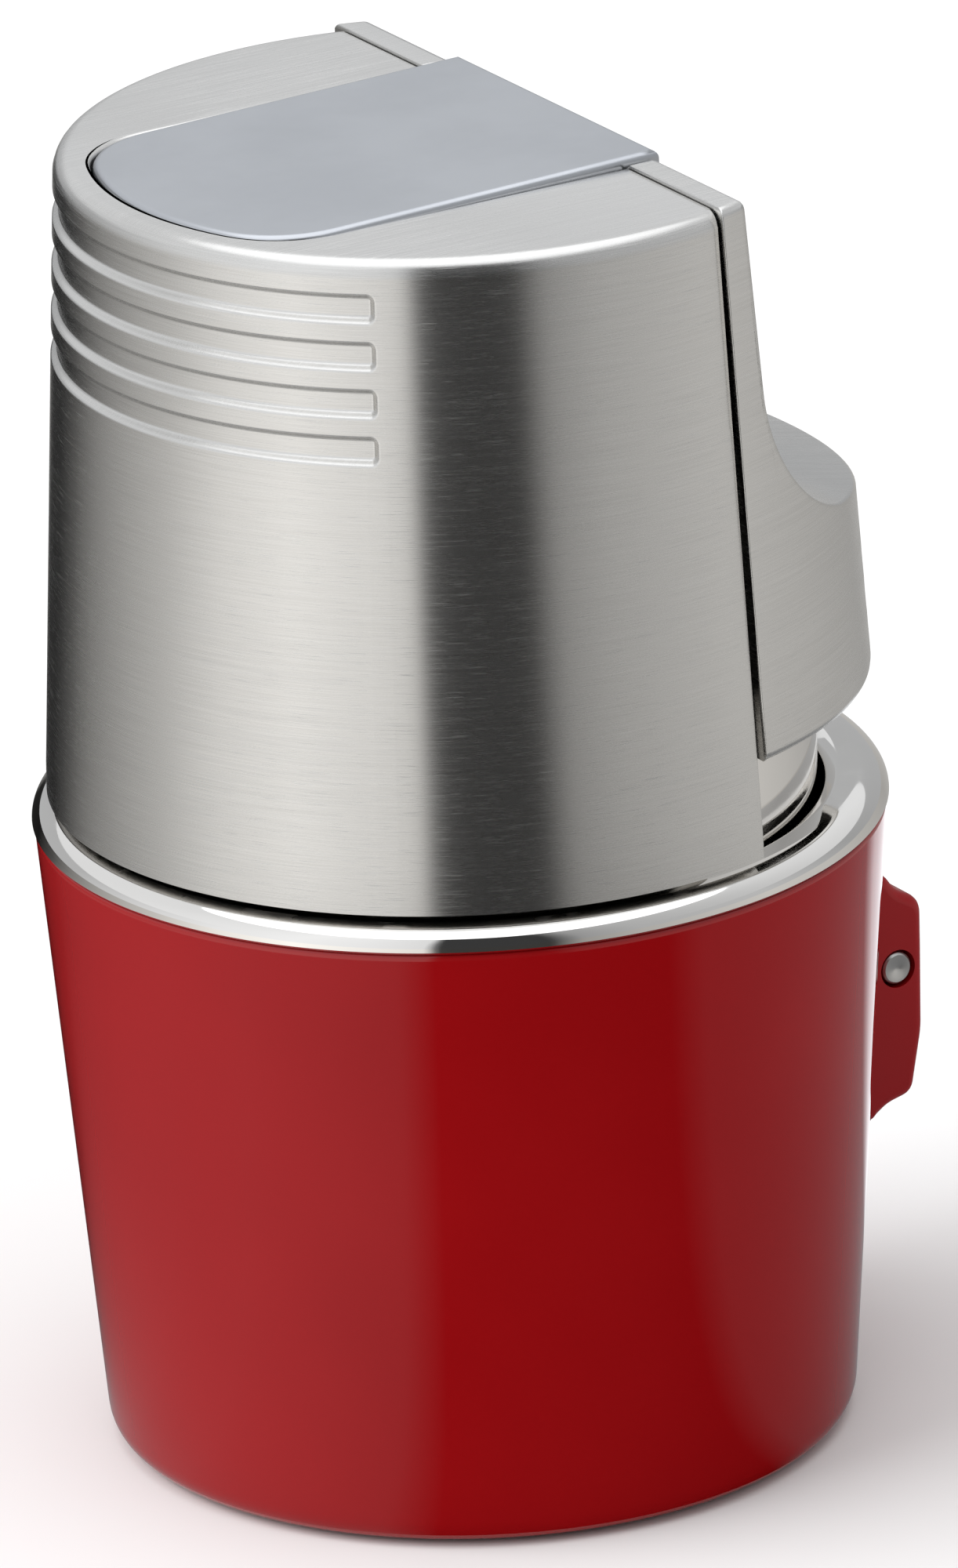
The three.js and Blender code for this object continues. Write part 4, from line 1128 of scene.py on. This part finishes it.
def stage_piece(name, verts, faces, material):
    """A piece of the studio, which is not part of the object."""
    mesh = bpy.data.meshes.new(name)
    mesh.from_pydata(verts, [], faces)
    mesh.materials.append(material)
    obj = add_object(name, mesh)
    return obj


def make_floor():
    """A wide, pale floor just under the object."""
    nodes = Nodes("floor")
    speck = nodes.noise(nodes.place, 40, 2)
    nodes.link(nodes.mix(speck, (0.86, 0.86, 0.86), (0.84, 0.84, 0.845)), nodes.shader.inputs["Base Color"])
    nodes.set(Roughness=0.7)
    half = FLOOR_HALF
    corners = [(-half, -half, 0), (half, -half, 0), (half, half, 0), (-half, half, 0)]
    floor = stage_piece("floor", corners, [(0, 1, 2, 3)], nodes.material)
    floor.location.z = -0.02 * MM


def toward(azimuth, elevation):
    """A unit direction from the object; azimuth 0 is -Y and 90 is +X."""
    a, e = math.radians(azimuth), math.radians(elevation)
    return Vector((math.cos(e) * math.sin(a), -math.cos(e) * math.cos(a), math.sin(e)))


def soft_sun(name, azimuth, elevation, strength):
    """A wide, soft lamp far away, so that the floor is lit evenly out to the horizon."""
    light = bpy.data.lights.new(name, "SUN")
    light.energy = strength
    light.angle = SUN_SPREAD
    lamp = add_object(name, light)
    lamp.location = toward(azimuth, elevation) + MIDDLE
    lamp.rotation_euler = (MIDDLE - lamp.location).to_track_quat("-Z", "Y").to_euler()
    lamp.visible_glossy = False


def level_at(stops, azimuth):
    """The brightness between two panels, going round the circle."""
    laps = [(a + turn, v) for turn in (-360, 0, 360) for a, v in stops]
    for (a, v), (next_a, next_v) in zip(laps, laps[1:]):
        if a <= azimuth <= next_a:
            return v + (next_v - v) * (azimuth - a) / (next_a - a)
    return stops[0][1]


def panel_material(name, stops, tint):
    """A glow that follows the brightness of the panels round the Z axis."""
    nodes = Nodes(name)
    around_z = nodes.tree.nodes.new("ShaderNodeTexGradient")
    around_z.gradient_type = "RADIAL"
    nodes.link(nodes.place, around_z.inputs["Vector"])
    ramp = nodes.tree.nodes.new("ShaderNodeValToRGB")
    edge = level_at(stops, -90)
    elements = ramp.color_ramp.elements
    elements[0].color = elements[1].color = dimmed(tint, edge) + (1.0,)
    for place, value in sorted(((a + 90) % 360 / 360, v) for a, v in stops):
        elements.new(place).color = dimmed(tint, value) + (1.0,)
    nodes.link(around_z.outputs["Fac"], ramp.inputs["Fac"])
    nodes.glow(ramp.outputs["Color"])
    return nodes.material


def tent_part(name, rings, stops, tint):
    """A band of the tent between two (radius, height) rings; only reflections see it."""
    steps = 96
    verts = [point for radius, z in rings for point in circle(radius, z, steps)]
    faces = strip_faces(2, steps, close_columns=True)
    band = stage_piece(name, verts, faces, panel_material(name, stops, tint))
    band.visible_camera = False
    band.visible_diffuse = False
    band.visible_shadow = False


def make_backdrop():
    """A plain white wall well behind the object on every side; only the camera sees it."""
    nodes = Nodes("backdrop")
    cloud = nodes.noise(nodes.place, 0.5, 2)
    nodes.glow(nodes.mix(cloud, (1.0, 1.0, 1.0), (1.05, 1.05, 1.05)))
    steps = 64
    verts = [point for z in (0.0, BACKDROP_HEIGHT) for point in circle(BACKDROP_RADIUS, z, steps)]
    wall = stage_piece("backdrop", verts, strip_faces(2, steps, close_columns=True), nodes.material)
    wall.visible_glossy = False
    wall.visible_diffuse = False
    wall.visible_shadow = False


def light_studio():
    """The grey world, the soft lamps and the tent, from its floor up to its roof."""
    world = bpy.data.worlds.new("studio")
    world.use_nodes = True
    background = world.node_tree.nodes["Background"]
    background.inputs["Color"].default_value = (1.0, 1.0, 1.0, 1.0)
    background.inputs["Strength"].default_value = WORLD_STRENGTH
    world.cycles_visibility.glossy = False
    bpy.context.scene.world = world
    for lamp in LAMPS:
        soft_sun(*lamp)
    ground, near, middle, wall = 1 * MM, 0.02, 0.125, 0.33
    shelf, band, roof, peak = 0.075, 0.18, 0.5, 0.001
    tent_part("tent_near", [(near, ground), (middle, ground)], NEAR_PANELS, COOL)
    tent_part("tent_floor", [(middle, ground), (wall, ground)], SIDE_PANELS, WARM)
    tent_part("tent_low", [(wall, ground), (wall, shelf)], SIDE_PANELS, WARM)
    tent_part("tent_high", [(wall, shelf), (wall, band)], BACK_PANELS, COOL)
    tent_part("tent_top", [(wall, band), (wall, roof)], UPPER_PANELS, COOL)
    tent_part("tent_roof", [(wall, roof), (peak, roof)], ROOF_PANELS, COOL)


def make_camera():
    """A long lens at the height and side the object is seen from, rolled a little."""
    away = toward(CAMERA_AZIMUTH, CAMERA_ELEVATION)
    right = away.cross(Vector((0, 0, 1))).normalized() * -1
    up = away.cross(right)
    cos, sin = math.cos(CAMERA_ROLL), math.sin(CAMERA_ROLL)
    right, up = right * cos + up * sin, up * cos - right * sin
    camera = bpy.data.cameras.new("camera")
    camera.lens = CAMERA_LENS
    camera.sensor_width = CAMERA_SENSOR
    camera.clip_end = CAMERA_FAR
    view = add_object("camera", camera)
    place = Matrix.Translation(CAMERA_AIM + away * CAMERA_DISTANCE)
    view.matrix_world = place @ Matrix((right, up, away)).transposed().to_4x4()
    bpy.context.scene.camera = view


make_camera()
build_cup()
build_rim()
build_sleeve()
build_pad()
build_casing()
build_lever()
build_lid()
build_lid_ears()
build_latch()
build_pin()
dress(make_materials())
make_floor()
make_backdrop()
light_studio()
bpy.context.scene.view_settings.view_transform = "Standard"

bpy.context.view_layer.update()
